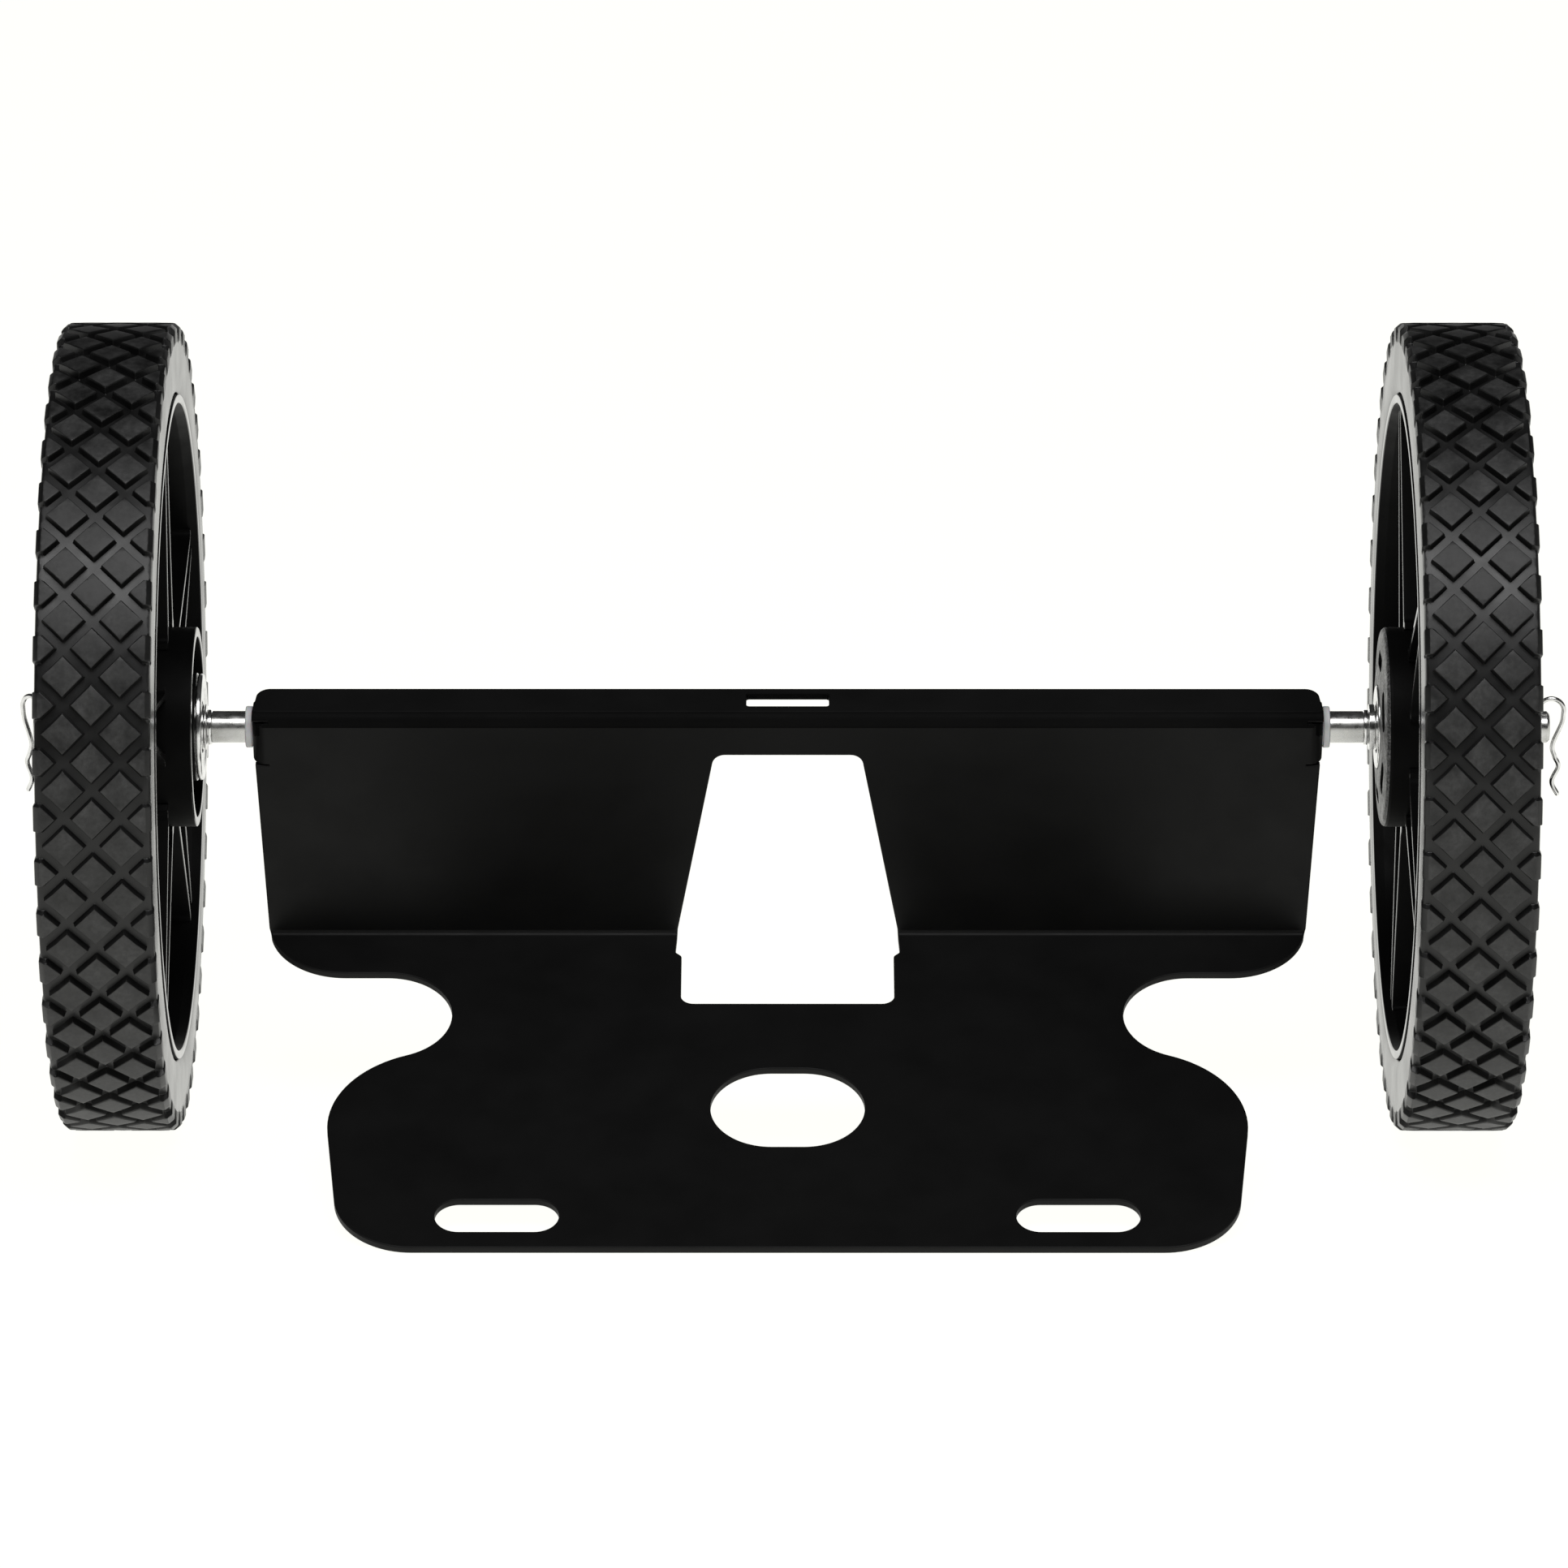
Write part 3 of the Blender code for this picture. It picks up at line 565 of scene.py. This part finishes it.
def blank_outline():
    """Flat outline of the sheet, with its two ears."""
    half = arc((LIP_HALF - LIP_CORNER, LIP_REAR + LIP_V + LIP_CORNER), LIP_CORNER, -90, 0)
    near, far = EAR_V[0] - EAR_RELIEF, EAR_V[1] + EAR_RELIEF
    half += [(FOLD_HALF, -BEND_LENGTH), (FOLD_HALF, near), (EAR_ROOT, near), (EAR_ROOT, EAR_V[0])]
    ear_half = (EAR_V[1] - EAR_V[0]) / 2
    half += arc((EAR_REACH, EAR_V[0] + ear_half), ear_half, -90, 90)
    half += [(EAR_ROOT, EAR_V[1]), (EAR_ROOT, far), (FOLD_HALF - 0.6, far)]
    half += [(WALL_FOOT_HALF, WALL_LENGTH)]
    shoulder = (WALL_FOOT_HALF - SHOULDER_RADIUS, SHOULDER_FRONT - SHOULDER_RADIUS)
    start = asin((DECK_FOLD[0] - shoulder[1]) / SHOULDER_RADIUS) * 180 / pi
    # The lobe's circle reaches LOBE_HALF and touches the notch's circle.
    across = NOTCH_CENTRE[0] - LOBE_HALF
    ahead = LOBE_U - NOTCH_CENTRE[1]
    lobe_radius = (across**2 + ahead**2 - NOTCH_RADIUS**2) / (2 * (NOTCH_RADIUS - across))
    lobe = (LOBE_HALF - lobe_radius, LOBE_U)
    meet = atan2(ahead, lobe[0] - NOTCH_CENTRE[0]) * 180 / pi
    slant = radians(SIDE_SLANT)
    corner_u = DECK_FRONT - CORNER_RADIUS
    inward = lobe_radius - CORNER_RADIUS - (corner_u - LOBE_U) * sin(slant)
    corner_x = lobe[0] + inward / cos(slant)
    deck = arc(shoulder, SHOULDER_RADIUS, start, 90, 4)
    deck += arc(NOTCH_CENTRE, NOTCH_RADIUS, -90, meet - 360, 4)
    deck += arc(lobe, lobe_radius, meet - 180, SIDE_SLANT, 4)[1:]
    deck += arc((corner_x, corner_u), CORNER_RADIUS, SIDE_SLANT, 90, 4)
    half += [(x, u + DECK_V) for x, u in deck]
    return mirrored(half)


def blank_holes():
    """Flat outlines of the slots, the window, the drain cut-out and the axle's holes."""
    half, deep = LIP_SLOT[0] / 2, LIP_SLOT[1] / 2
    at = LIP_SLOT_U + LIP_V
    holes = [rounded([(-half, at - deep, 1), (half, at - deep, 1), (half, at + deep, 1),
                      (-half, at + deep, 1)])]
    right = [(DRAIN_TOP_HALF, LIP_FOLD[1] - DRAIN_TOP, DRAIN_CORNER),
             (DRAIN_FOOT_HALF, WALL_LENGTH, 6.0),
             (DRAIN_RELIEF[0], DRAIN_RELIEF[1] + DECK_V - 1, 1.4),
             (DRAIN_DECK_HALF, DRAIN_RELIEF[1] + DECK_V + 1, 1.4),
             (DRAIN_DECK_HALF, DRAIN_DECK_U + DECK_V, DRAIN_CORNER)]
    holes.append(rounded(right + [(-x, v, radius) for x, v, radius in reversed(right)]))
    holes.append(obround(*WINDOW, (0.0, WINDOW_U + DECK_V), 4))
    for sign in SIDES.values():
        holes.append(obround(*DECK_SLOT, (sign * DECK_SLOT_AT[0], DECK_SLOT_AT[1] + DECK_V)))
        holes.append(arc((sign * EAR_REACH, LIP_FOLD[1]), EAR_HOLE, 0, 360, 8)[:-1])
    return [list(reversed(hole)) for hole in holes]


def folded(x, v, z):
    """Place in the plate's frame of a point of the flat sheet, z from its middle to its front."""
    side = 1 if x > 0 else -1
    across = abs(x) - EAR_FOLD
    if across > 0 and EAR_V[0] - EAR_RELIEF / 2 < v < EAR_V[1] + EAR_RELIEF / 2:
        turn = min(across / BEND, pi / 2)
        x = side * (EAR_FOLD + (BEND + z) * sin(turn))
        u = LIP_FOLD[0] + (BEND + z) * cos(turn) - max(0.0, across - BEND_LENGTH)
        return (x, -u, LIP_FOLD[1] - v)
    if v < 0:
        turn = max(0.0, v + BEND_LENGTH) / BEND
        u = LIP_FOLD[0] + (BEND + z) * sin(turn) + min(0.0, v + BEND_LENGTH)
        return (x, -u, LIP_FOLD[1] + (BEND + z) * cos(turn))
    if v < WALL_LENGTH:
        return (x, -(LIP_FOLD[0] + BEND + z), LIP_FOLD[1] - v)
    turn = min(v - WALL_LENGTH, BEND_LENGTH) / BEND
    u = DECK_FOLD[0] - (BEND - z) * cos(turn) + max(0.0, v - WALL_LENGTH - BEND_LENGTH)
    return (x, -u, DECK_FOLD[1] - (BEND - z) * sin(turn))


def plate_mesh():
    """Sheet with rounded edges, cut flat and then folded."""
    bm = bmesh.new()
    soft = EDGE_ROUND
    rows = [(soft * (1 - sin(a)), HALF_SHEET - soft * (1 - cos(a)))
            for a in (radians(t) for t in (0, 30, 60, 90))]
    rows += [(depth, -z) for depth, z in reversed(rows)]
    caps = ([], [])
    for loop in [blank_outline()] + blank_holes():
        rings = [[bm.verts.new((x, v, z)) for x, v in inset(loop, depth)] for depth, z in rows]
        for near, far in zip(rings, rings[1:]):
            for i in range(len(loop)):
                bm.faces.new((near[i - 1], near[i], far[i], far[i - 1]))
        for cap, ring in zip(caps, (rings[0], rings[-1])):
            cap.extend(bm.edges.get((ring[i - 1], ring[i])) for i in range(len(loop)))
    for cap in caps:
        bmesh.ops.triangle_fill(bm, edges=cap, use_beauty=True)
    steps = 8
    cuts = []
    for i in range(steps + 1):
        part = BEND_LENGTH * i / steps
        cuts += [((0, part - BEND_LENGTH, 0), (0, 1, 0)), ((0, WALL_LENGTH + part, 0), (0, 1, 0))]
        cuts += [((sign * (EAR_FOLD + part), 0, 0), (1, 0, 0)) for sign in SIDES.values()]
    for at, normal in cuts:
        cut(bm, at, normal, 1e-4)
    for vert in bm.verts:
        vert.co = folded(*vert.co)
    return as_mesh(bm)


def paint_plate(centre, normal):
    """Finish of a plate face: 1 round the outside of the upper bend, where a copy of the coat with
    almost no specular reflection paints shade, else 0.
    """
    return 1 if centre.z > 0 and normal.y < -0.4 and -0.3 < normal.z < 0.9 else 0


def make_plate(finishes):
    """Folded plate, the outside of its upper bend in a copy of the coat with almost no specular
    reflection, which paints a dark band of shade there.
    """
    add_piece("folded_plate", plate_mesh(), [finishes["plate"], finishes["fold"]], "bracket",
              ["bracket_plate"], lean=LEAN, paint=paint_plate)


def make_bushing(side, finish):
    """Flanged bushing pressed into an ear."""
    node = side + "_axle_bushing"
    low, high = (corner.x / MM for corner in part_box(node))
    sign = SIDES[side]
    inner, outer = (low, high) if sign > 0 else (-high, -low)
    profile = rounded([(inner, BORE + 0.3, 0), (inner, BUSHING_BARREL, 0.3),
                       (BUSHING_SHOULDER, BUSHING_BARREL, 0),
                       (BUSHING_SHOULDER, BUSHING_FLANGE, 0.3),
                       (outer, BUSHING_FLANGE, 0.5), (outer, BORE, 0.4)])
    if sign < 0:
        profile = [(-x, radius) for x, radius in profile]
    add_piece(node + "_detail", turned(profile, 72), [finish], "bracket", [node],
              lean=LEAN)


# Axle ----------------------------------------------------------------------------------------

def make_axle(finish):
    """Rod with rounded ends, ring grooves and cross holes."""
    left, right = (corner.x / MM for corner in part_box("axle"))
    soft = AXLE_CHAMFER
    outline = [(left, 0, 0), (left, AXLE_RADIUS - soft, 0.4), (left + soft, AXLE_RADIUS, 0.4)]
    for side, sign in SIDES.items():
        low, high = (corner.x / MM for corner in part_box(side + "_retaining_ring"))
        low, high = low - 0.1, high + 0.1
        outline += [(low, AXLE_RADIUS, 0.15), (low, GROOVE_RADIUS, 0), (high, GROOVE_RADIUS, 0),
                    (high, AXLE_RADIUS, 0.15)]
    outline += [(right - soft, AXLE_RADIUS, 0.4), (right, AXLE_RADIUS - soft, 0.4), (right, 0, 0)]
    rod = turned(rounded(outline, 30), 96)
    drills = []
    for x in (left + CLIP_INSET["left"], right - CLIP_INSET["right"]):
        circle = arc((x, 0.0), CLIP_HOLE, 0, 360, 15)[:-1]
        reach = AXLE_RADIUS + 1
        drills.append(loft([[(a, b, w) for a, b in circle] for w in (-reach, reach)]))
    rod = boolean(rod, drills, "DIFFERENCE")
    add_piece("axle_rod", rod, [finish], "axle", ["axle"])


def ring_outline(node, bore, soft):
    """Rounded section of a ring that fills a CAD node's box."""
    low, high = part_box(node)
    radius = (high.z - low.z) / (2 * MM)
    start, end = low.x / MM, high.x / MM
    return rounded([(start, bore, soft), (start, radius, soft), (end, radius, soft),
                    (end, bore, soft)], 30)


def make_rings(side, finishes):
    """Retaining ring, thrust washers and the tube between the bearings."""
    node = side + "_retaining_ring"
    ring = turned(ring_outline(node, RING_BORE, 0.2), 72, RING_SWEEP)
    add_piece(node + "_split", ring, [finishes["bright"]], "axle", [node])
    for kind in ("_inner_washer", "_outer_washer"):
        node = side + kind
        washer = turned(ring_outline(node, BORE, 0.12), 72)
        add_piece(node + "_detail", washer, [finishes["bright"]], "axle", [node])
    node = side + "_hub_spacer"
    tube = turned(ring_outline(node, BORE, 0.3), 48)
    add_piece(node + "_tube", tube, [finishes["zinc"]], "axle", [node])


def clip_path():
    """Clip's centre line in its own plane, its leg along the cross hole."""
    leg = [Vector((0.0, CLIP_LEG_END + 0.5 * i)) for i in range(44)]
    loop = [Vector(point) for point in arc((CLIP_EYE, CLIP_EYE_HEIGHT), CLIP_EYE, 180, 0, 6)]
    wave = [loop[-1]] + [Vector(point) for point in CLIP_WAVE]
    ends = [2 * wave[0] - wave[1]] + wave + [2 * wave[-1] - wave[-2]]
    path = [point for point in leg if point.y < CLIP_EYE_HEIGHT] + loop[:-1]
    pieces = 12
    for p0, p1, p2, p3 in zip(ends, ends[1:], ends[2:], ends[3:]):
        for i in range(pieces):
            t = i / pieces
            path.append(p1 * (2 * t**3 - 3 * t**2 + 1) + (p2 - p0) / 2 * (t**3 - 2 * t**2 + t)
                        + p2 * (3 * t**2 - 2 * t**3) + (p3 - p1) / 2 * (t**3 - t**2))
    return path + [wave[-1]]


def make_clip(side, finish):
    """Hairpin clip of round wire with slightly rounded ends."""
    path = clip_path()
    sections = []
    turn = radians(CLIP_TURN[side])
    last = len(path) - 1
    for i, point in enumerate(path):
        ahead = path[min(i + 1, last)] - path[max(i - 1, 0)]
        normal = Vector((ahead.y, -ahead.x)).normalized()
        radius = CLIP_WIRE * (0.72 if i in (0, last) else 1.0)
        section = []
        for j in range(16):
            a = 2 * pi * j / 16
            flat = point + normal * radius * cos(a)
            depth = radius * sin(a)
            section.append((flat.x * cos(turn) - depth * sin(turn),
                            flat.x * sin(turn) + depth * cos(turn), flat.y))
        sections.append(section)
    left, right = (corner.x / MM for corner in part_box("axle"))
    x = left + CLIP_INSET["left"] if side == "left" else right - CLIP_INSET["right"]
    add_piece(side + "_clip_wire", loft(sections), [finish], side + "_clip",
              [side + "_hitch_clip"], at=(x, 0.0, 0.0))


# Tyre ----------------------------------------------------------------------------------------

def tread_patch():
    """One pitch of tread, flat: (along the tread, across it, block height 0 to 1)."""
    offsets = sorted({sign * d for d, rise in BLOCK_RISE for sign in (-1, 1)} - {-0.5})
    lines = [-1.0 + i + d for i in range(4) for d in offsets if -1.0 <= -1.0 + i + d <= 2.0]
    rise = [along(BLOCK_RISE, abs(line - round(line)), 1) for line in lines]
    bm = bmesh.new()
    grid = []
    for p, high_p in zip(lines, rise):
        row = []
        for q, high_q in zip(lines, rise):
            row.append(bm.verts.new(((p + q) * PITCH / 2, (p - q) * COLUMN, min(high_p, high_q))))
        grid.append(row)
    for near, far in zip(grid, grid[1:]):
        for i in range(len(lines) - 1):
            bm.faces.new((near[i], near[i + 1], far[i + 1], far[i]))
    edges = [((0, 0, 0), (-1, 0, 0)), ((PITCH, 0, 0), (1, 0, 0)),
             ((0, SHOULDER_S, 0), (0, 1, 0)), ((0, -SHOULDER_S, 0), (0, -1, 0))]
    for at, normal in edges:
        cut(bm, at, normal, 1e-5, clear=True)
    for across, _, _ in TYRE_SECTION[1:4]:
        for sign in SIDES.values():
            cut(bm, (0, sign * across, 0), (0, 1, 0), 1e-5)
    for from_end, _ in SHOULDER_RISE[1:-1]:
        for run in (from_end, PITCH - from_end):
            cut(bm, (run, 0, 0), (1, 0, 0), 1e-5)
    for vert in bm.verts:
        from_end = min(vert.co.x, PITCH - vert.co.x)
        if from_end / PITCH + (SHOULDER_S - abs(vert.co.y)) / SHOULDER_S < 0.5:
            vert.co.z = min(vert.co.z, along(SHOULDER_RISE, max(0.0, from_end), 1))
    return bm


def extend_shoulders(bm):
    """Rows from the tread's two edges down both sidewalls."""
    for sign in SIDES.values():
        rim = [edge for edge in bm.edges
               if all(abs(vert.co.y - sign * SHOULDER_S) < 1e-4 for vert in edge.verts)]
        for across, _, _ in TYRE_SECTION[5:]:
            made = bmesh.ops.extrude_edge_only(bm, edges=rim)["geom"]
            for vert in made:
                if isinstance(vert, bmesh.types.BMVert):
                    vert.co.y = sign * across
            rim = [edge for edge in made if isinstance(edge, bmesh.types.BMEdge)]


def tyre_mesh(phase):
    """Diamond tread wrapped round the wheel, with sidewalls and a seat on the rim."""
    patch = tread_patch()
    extend_shoulders(patch)
    patch.verts.ensure_lookup_table()
    flat = [vert.co.copy() for vert in patch.verts]
    faces = [[vert.index for vert in face.verts] for face in patch.faces]
    patch.free()
    bm = bmesh.new()
    for turn in range(PITCHES):
        verts = []
        for run, across, rise in flat:
            groove = along(TYRE_SECTION, abs(across), 1)
            block = along(TYRE_SECTION, abs(across), 2)
            s = groove[0] + (block[0] - groove[0]) * rise
            radius = groove[1] + (block[1] - groove[1]) * rise
            angle = radians(phase) + 2 * pi * (turn + run / PITCH) / PITCHES
            s = s if across > 0 else -s
            verts.append(bm.verts.new((s, -radius * sin(angle), radius * cos(angle))))
        for face in faces:
            bm.faces.new([verts[i] for i in face])
    bmesh.ops.remove_doubles(bm, verts=bm.verts, dist=0.01)
    open_edges = [edge for edge in bm.edges if edge.is_boundary]
    bmesh.ops.bridge_loops(bm, edges=open_edges)
    return as_mesh(bm)


def paint_tyre(centre, normal):
    """Finish of a tyre face: 0 block top, 1 groove, 2 sidewall."""
    radius = hypot(centre.y, centre.z)
    outward = (normal.y * centre.y + normal.z * centre.z) / radius
    if radius < 120.9:
        return 2
    if radius > 126.4 and outward > 0.9:
        return 0
    return 1


# Rim and hub ---------------------------------------------------------------------------------

def band_mesh():
    """Rim band between two rounded lips."""
    corners = [(RIM_HALF, RIM_OUTER, 0.4), (RIM_HALF, RIM_LIP, 0.7), (*RIM_SLOPE, 2.0),
               (RIM_MIDDLE_HALF, RIM_MIDDLE, 6.0)]
    whole = corners + [(-s, radius, soft) for s, radius, soft in reversed(corners)]
    return turned(rounded(whole, 18), 160)


def hub_mesh():
    """Hub barrel: deep ring recess on side A, domed and pocketed face on side B."""
    profile = rounded([
        (HUB_HALF, BEARING_SEAT, 0.3), (HUB_HALF, HUB_BOSS, 0.4), (HUB_RECESS_FLOOR, HUB_BOSS, 1.0),
        (HUB_RECESS_FLOOR, HUB_RING, 1.0), (HUB_HALF, HUB_RING, 0.4), (HUB_HALF, HUB_RADIUS, 0.6),
        (-HUB_HALF + HUB_DOME, HUB_RADIUS, 1.9), (-HUB_HALF, BEARING_SEAT + 4, 20.0),
        (-HUB_HALF, BEARING_SEAT, 0.3), (-SEAT_FLOOR, BEARING_SEAT, 0),
        (-SEAT_FLOOR, HUB_BORE, 0.3), (SEAT_FLOOR, HUB_BORE, 0.3),
        (SEAT_FLOOR, BEARING_SEAT, 0)], 15)
    pockets = []
    for i in range(POCKETS):
        outline = obround(*POCKET, (0.0, POCKET_AT), 20)
        ends = (-HUB_HALF - 2, POCKET_DEPTH - HUB_HALF)
        pocket = loft([[(s, across, up) for across, up in outline] for s in ends])
        pocket.transform(Matrix.Rotation(2 * pi * i / POCKETS, 4, "X"))
        pockets.append(pocket)
    return boolean(turned(profile, 120), pockets, "DIFFERENCE")


def spoke_mesh(angle):
    """H-section spoke, two ribs on a web, flaring where it meets the hub and the rim."""
    wide, web = SPOKE_ROOT / 2, SPOKE_WEB / 2
    rib = wide - SPOKE_RIB
    right = [(rib, web, 0.9), (rib, SPOKE_HALF, 0.4), (wide, SPOKE_HALF, 0.4),
             (wide, -SPOKE_HALF, 0.4), (rib, -SPOKE_HALF, 0.4), (rib, -web, 0.9)]
    section = rounded(right + [(-a, s, soft) for a, s, soft in reversed(right)], 30)
    root, tip = HUB_RADIUS, RIM_MIDDLE + 0.4
    rises = [root - 2.0] + [root + d for d in (0.0, 0.3, 0.8, 1.6, SPOKE_FILLET)]
    rises += [root + (tip - root) * part for part in (0.2, 0.4, 0.6, 0.8)]
    rises += [tip - d for d in (SPOKE_FILLET, 1.6, 0.8, 0.3, 0.0)] + [tip + 1.6]
    rows = []
    for up in rises:
        part = min(1.0, max(0.0, (up - root) / (tip - root)))
        near = max(0.0, 1 - min(abs(up - root), abs(up - tip)) / SPOKE_FILLET)
        if up < root or up > tip:
            near = 1.0
        flare = SPOKE_FILLET * (1 - sqrt(1 - near**2)) * 0.6
        row = []
        for across, s in section:
            outer = min(1.0, max(0.0, (abs(across) - rib) / SPOKE_RIB))
            reach = abs(across) - part * (SPOKE_ROOT - SPOKE_TIP) / 2 + flare * (1.4 * outer - 0.4)
            row.append((s, copysign(reach, across), up))
        rows.append(row)
    spoke = loft(rows)
    spoke.transform(Matrix.Rotation(angle, 4, "X"))
    return spoke


def rim_mesh(phase):
    """Hub, spokes and rim band in one moulding."""
    spokes = [spoke_mesh(2 * pi * i / SPOKES + radians(phase)) for i in range(SPOKES)]
    return boolean(hub_mesh(), spokes + [band_mesh()], "UNION")


def paint_rim(centre, normal):
    """Finish of a rim face: 1 on the hub's grained face, 2 on faces square to the axle (painted
    highlight), else 0 (painted shade).
    """
    if normal.x < -0.4 and centre.x < 2.5 - HUB_HALF:
        return 1
    return 2 if abs(normal.x) > 0.6 and abs(centre.x) > HUB_RECESS_FLOOR + 1 else 0


# Bearings ------------------------------------------------------------------------------------

def cup_mesh(flanged):
    """Pressed bearing cup on side +s, with its shield; the flanged one stands proud."""
    face = HUB_HALF + (CUP_STAND if flanged else CUP_STAND_PLAIN)
    profile = [(CUP_BACK, CUP_INNER, 0), (CUP_BACK, CUP_OUTER, 0.3)]
    if flanged:
        profile += [(CUP_SEAT, CUP_OUTER, 0), (CUP_SEAT, CUP_FLANGE, 0.25), (face, CUP_FLANGE, 0.7),
                    (face, CUP_OUTER + CUP_GROOVE, 0.3), (face - 0.5, CUP_OUTER - CUP_GROOVE, 0.2)]
        shield = (face - 1.2, face - 0.5)
    else:
        profile += [(face, CUP_OUTER, 0.5), (face, CUP_OUTER - 1.0, 0.2)]
        shield = (face - 1.0, face - 0.25)
    profile += [(shield[1], SHIELD_HOLE, 0.25), (shield[0], SHIELD_HOLE, 0.25),
                (shield[0], CUP_INNER, 0)]
    return turned(rounded(profile, 30), 96)


def balls_mesh():
    """Ball ring on side +s: balls on a thin cage."""
    long, thick = CAGE_HALF
    cage = [(BALL_S - long, BALL_CIRCLE - thick, 0.2), (BALL_S - long, BALL_CIRCLE + thick, 0.2),
            (BALL_S + long, BALL_CIRCLE + thick, 0.2), (BALL_S + long, BALL_CIRCLE - thick, 0.2)]
    balls = []
    for i in range(BALLS):
        angle = 2 * pi * i / BALLS
        bm = bmesh.new()
        bmesh.ops.create_uvsphere(bm, u_segments=24, v_segments=16, radius=BALL_RADIUS)
        place = (BALL_S, BALL_CIRCLE * sin(angle), BALL_CIRCLE * cos(angle))
        bmesh.ops.translate(bm, verts=bm.verts, vec=place)
        balls.append(as_mesh(bm))
    return boolean(turned(rounded(cage, 45), 72), balls, "UNION")


def make_bearing(name, face, side, finish):
    """Cup, ball ring and inner race on one side, A or B, of a wheel."""
    at = (WHEEL_X[side], 0.0, 0.0)
    flip = Matrix.Identity(4) if face == "A" else Matrix.Rotation(pi, 4, "Z")
    pieces = (("_bearing_cup", cup_mesh(face == "A"), "_wheel"),
              ("_ball_ring", balls_mesh(), "_balls"))
    for kind, mesh, body in pieces:
        mesh.transform(flip)
        node = name + kind
        add_piece(node + "_detail", mesh, [finish], side + body, [node], at=at)
    node = name + "_bearing_race"
    race = turned(ring_outline(node, BORE, 0.35), 72)
    add_piece(node + "_detail", race, [finish], "axle", [node])


def make_wheel(side, finishes):
    """Tyre, rim and both bearings."""
    at = (WHEEL_X[side], 0.0, 0.0)
    rubber = [finishes["tread"], finishes["groove"], finishes["sidewall"]]
    add_piece(side + "_treaded_tyre", tyre_mesh(TREAD_PHASE[side]), rubber, side + "_wheel",
              [side + "_tyre"], at=at, paint=paint_tyre)
    plastic = [finishes["rim"], finishes["speckled"], finishes["rim_face"]]
    add_piece(side + "_spoked_rim", rim_mesh(SPOKE_PHASE[side]), plastic, side + "_wheel",
              [side + "_rim", side + "_hub_and_spokes"], at=at, paint=paint_rim)
    inboard, outboard = ("A", "B") if side == "left" else ("B", "A")
    make_bearing(side + "_inner", inboard, side, finishes["bright"])
    make_bearing(side + "_outer", outboard, side, finishes["bright"])


# Stage ---------------------------------------------------------------------------------------

def make_floor():
    """Pale floor that glows, so that it stays even."""
    finish = Finish("pale_floor", Specular_IOR_Level=0.1, Emission_Strength=1.0)
    finish.shader.inputs["Emission Color"].default_value = (1.0, 1.0, 0.955, 1.0)
    cloud = finish.noise(3.0, 2.0)
    finish.feed("Base Color", finish.ramp(cloud, (0.10, 0.10, 0.095), (0.12, 0.12, 0.115)))
    finish.shader.inputs["Roughness"].default_value = 0.6
    bpy.ops.mesh.primitive_plane_add(size=14.0, location=(0.0, 0.0, 0.0))
    floor = bpy.context.object
    floor.name = "floor"
    floor.data.materials.append(finish.material)


def make_sky():
    """Surroundings: pale at the horizon, dark overhead."""
    world = bpy.data.worlds.new("studio")
    bpy.context.scene.world = world
    world.use_nodes = True
    nodes, links = world.node_tree.nodes, world.node_tree.links
    place = nodes.new("ShaderNodeTexCoord").outputs["Generated"]
    split = nodes.new("ShaderNodeSeparateXYZ")
    ramp = nodes.new("ShaderNodeValToRGB")
    stops = ramp.color_ramp.elements
    stops[0].position = 0.02
    stops[0].color = (0.95, 0.95, 0.93, 1.0)
    stops[1].position = 0.12
    stops[1].color = (0.035, 0.035, 0.035, 1.0)
    links.new(place, split.inputs["Vector"])
    links.new(split.outputs["Z"], ramp.inputs["Fac"])
    links.new(ramp.outputs["Color"], nodes["Background"].inputs["Color"])


def add_light(name, at, target, size, power):
    """Soft rectangular light aimed at a point, in metres and watts."""
    data = bpy.data.lights.new(name, "AREA")
    data.shape = "RECTANGLE"
    data.size, data.size_y = size
    data.energy = power
    light = bpy.data.objects.new(name, data)
    bpy.context.collection.objects.link(light)
    light.location = at
    light.rotation_euler = (Vector(target) - Vector(at)).to_track_quat("-Z", "Y").to_euler()


def make_camera():
    """Long lens in front and above, aimed near the axle's middle."""
    data = bpy.data.cameras.new("camera")
    data.lens = CAMERA_LENS
    data.sensor_width = 36.0
    data.clip_end = 30.0
    camera = bpy.data.objects.new("camera", data)
    bpy.context.collection.objects.link(camera)
    rise = radians(CAMERA_ELEVATION)
    at = AXLE + Vector((0.0, -cos(rise), sin(rise))) * CAMERA_DISTANCE
    target = AXLE + Vector((-AIM_LEFT, -sin(rise) * AIM_BELOW, -cos(rise) * AIM_BELOW))
    camera.location = at * MM
    camera.rotation_euler = (target - at).to_track_quat("-Z", "Y").to_euler()
    bpy.context.scene.camera = camera


make_camera()
make_floor()
make_sky()
add_light("overhead", LIGHT_AT, (0.0, 0.0, 0.1), LIGHT_SIZE, LIGHT_POWER)
bpy.context.scene.view_settings.view_transform = "Standard"

FINISHES = {
    "tread": tread_rubber(),
    "groove": groove_rubber(),
    "sidewall": sidewall_rubber(),
    # rim: darker, near-mirrorless copy of the plastic, painted shade; rim_face: paler, strongly
    # reflecting copy, painted highlight on the lips
    "rim": rim_plastic(),
    "rim_face": rim_face_plastic_painted_highlight(),
    "speckled": speckled_plastic(),
    "zinc": zinc_steel(),
    "bright": bright_steel(),
    "nylon": nylon(),
    "plate": powder_coat("powder_coat", 0.16),
    # copy of the coat with almost no specular reflection: painted shade on the outside of the upper
    # bend
    "fold": powder_coat("powder_coat_fold_painted_shade", 0.02),
}
make_plate(FINISHES)
make_axle(FINISHES["zinc"])
for side in SIDES:
    make_bushing(side, FINISHES["nylon"])
    make_rings(side, FINISHES)
    make_clip(side, FINISHES["bright"])
    make_wheel(side, FINISHES)
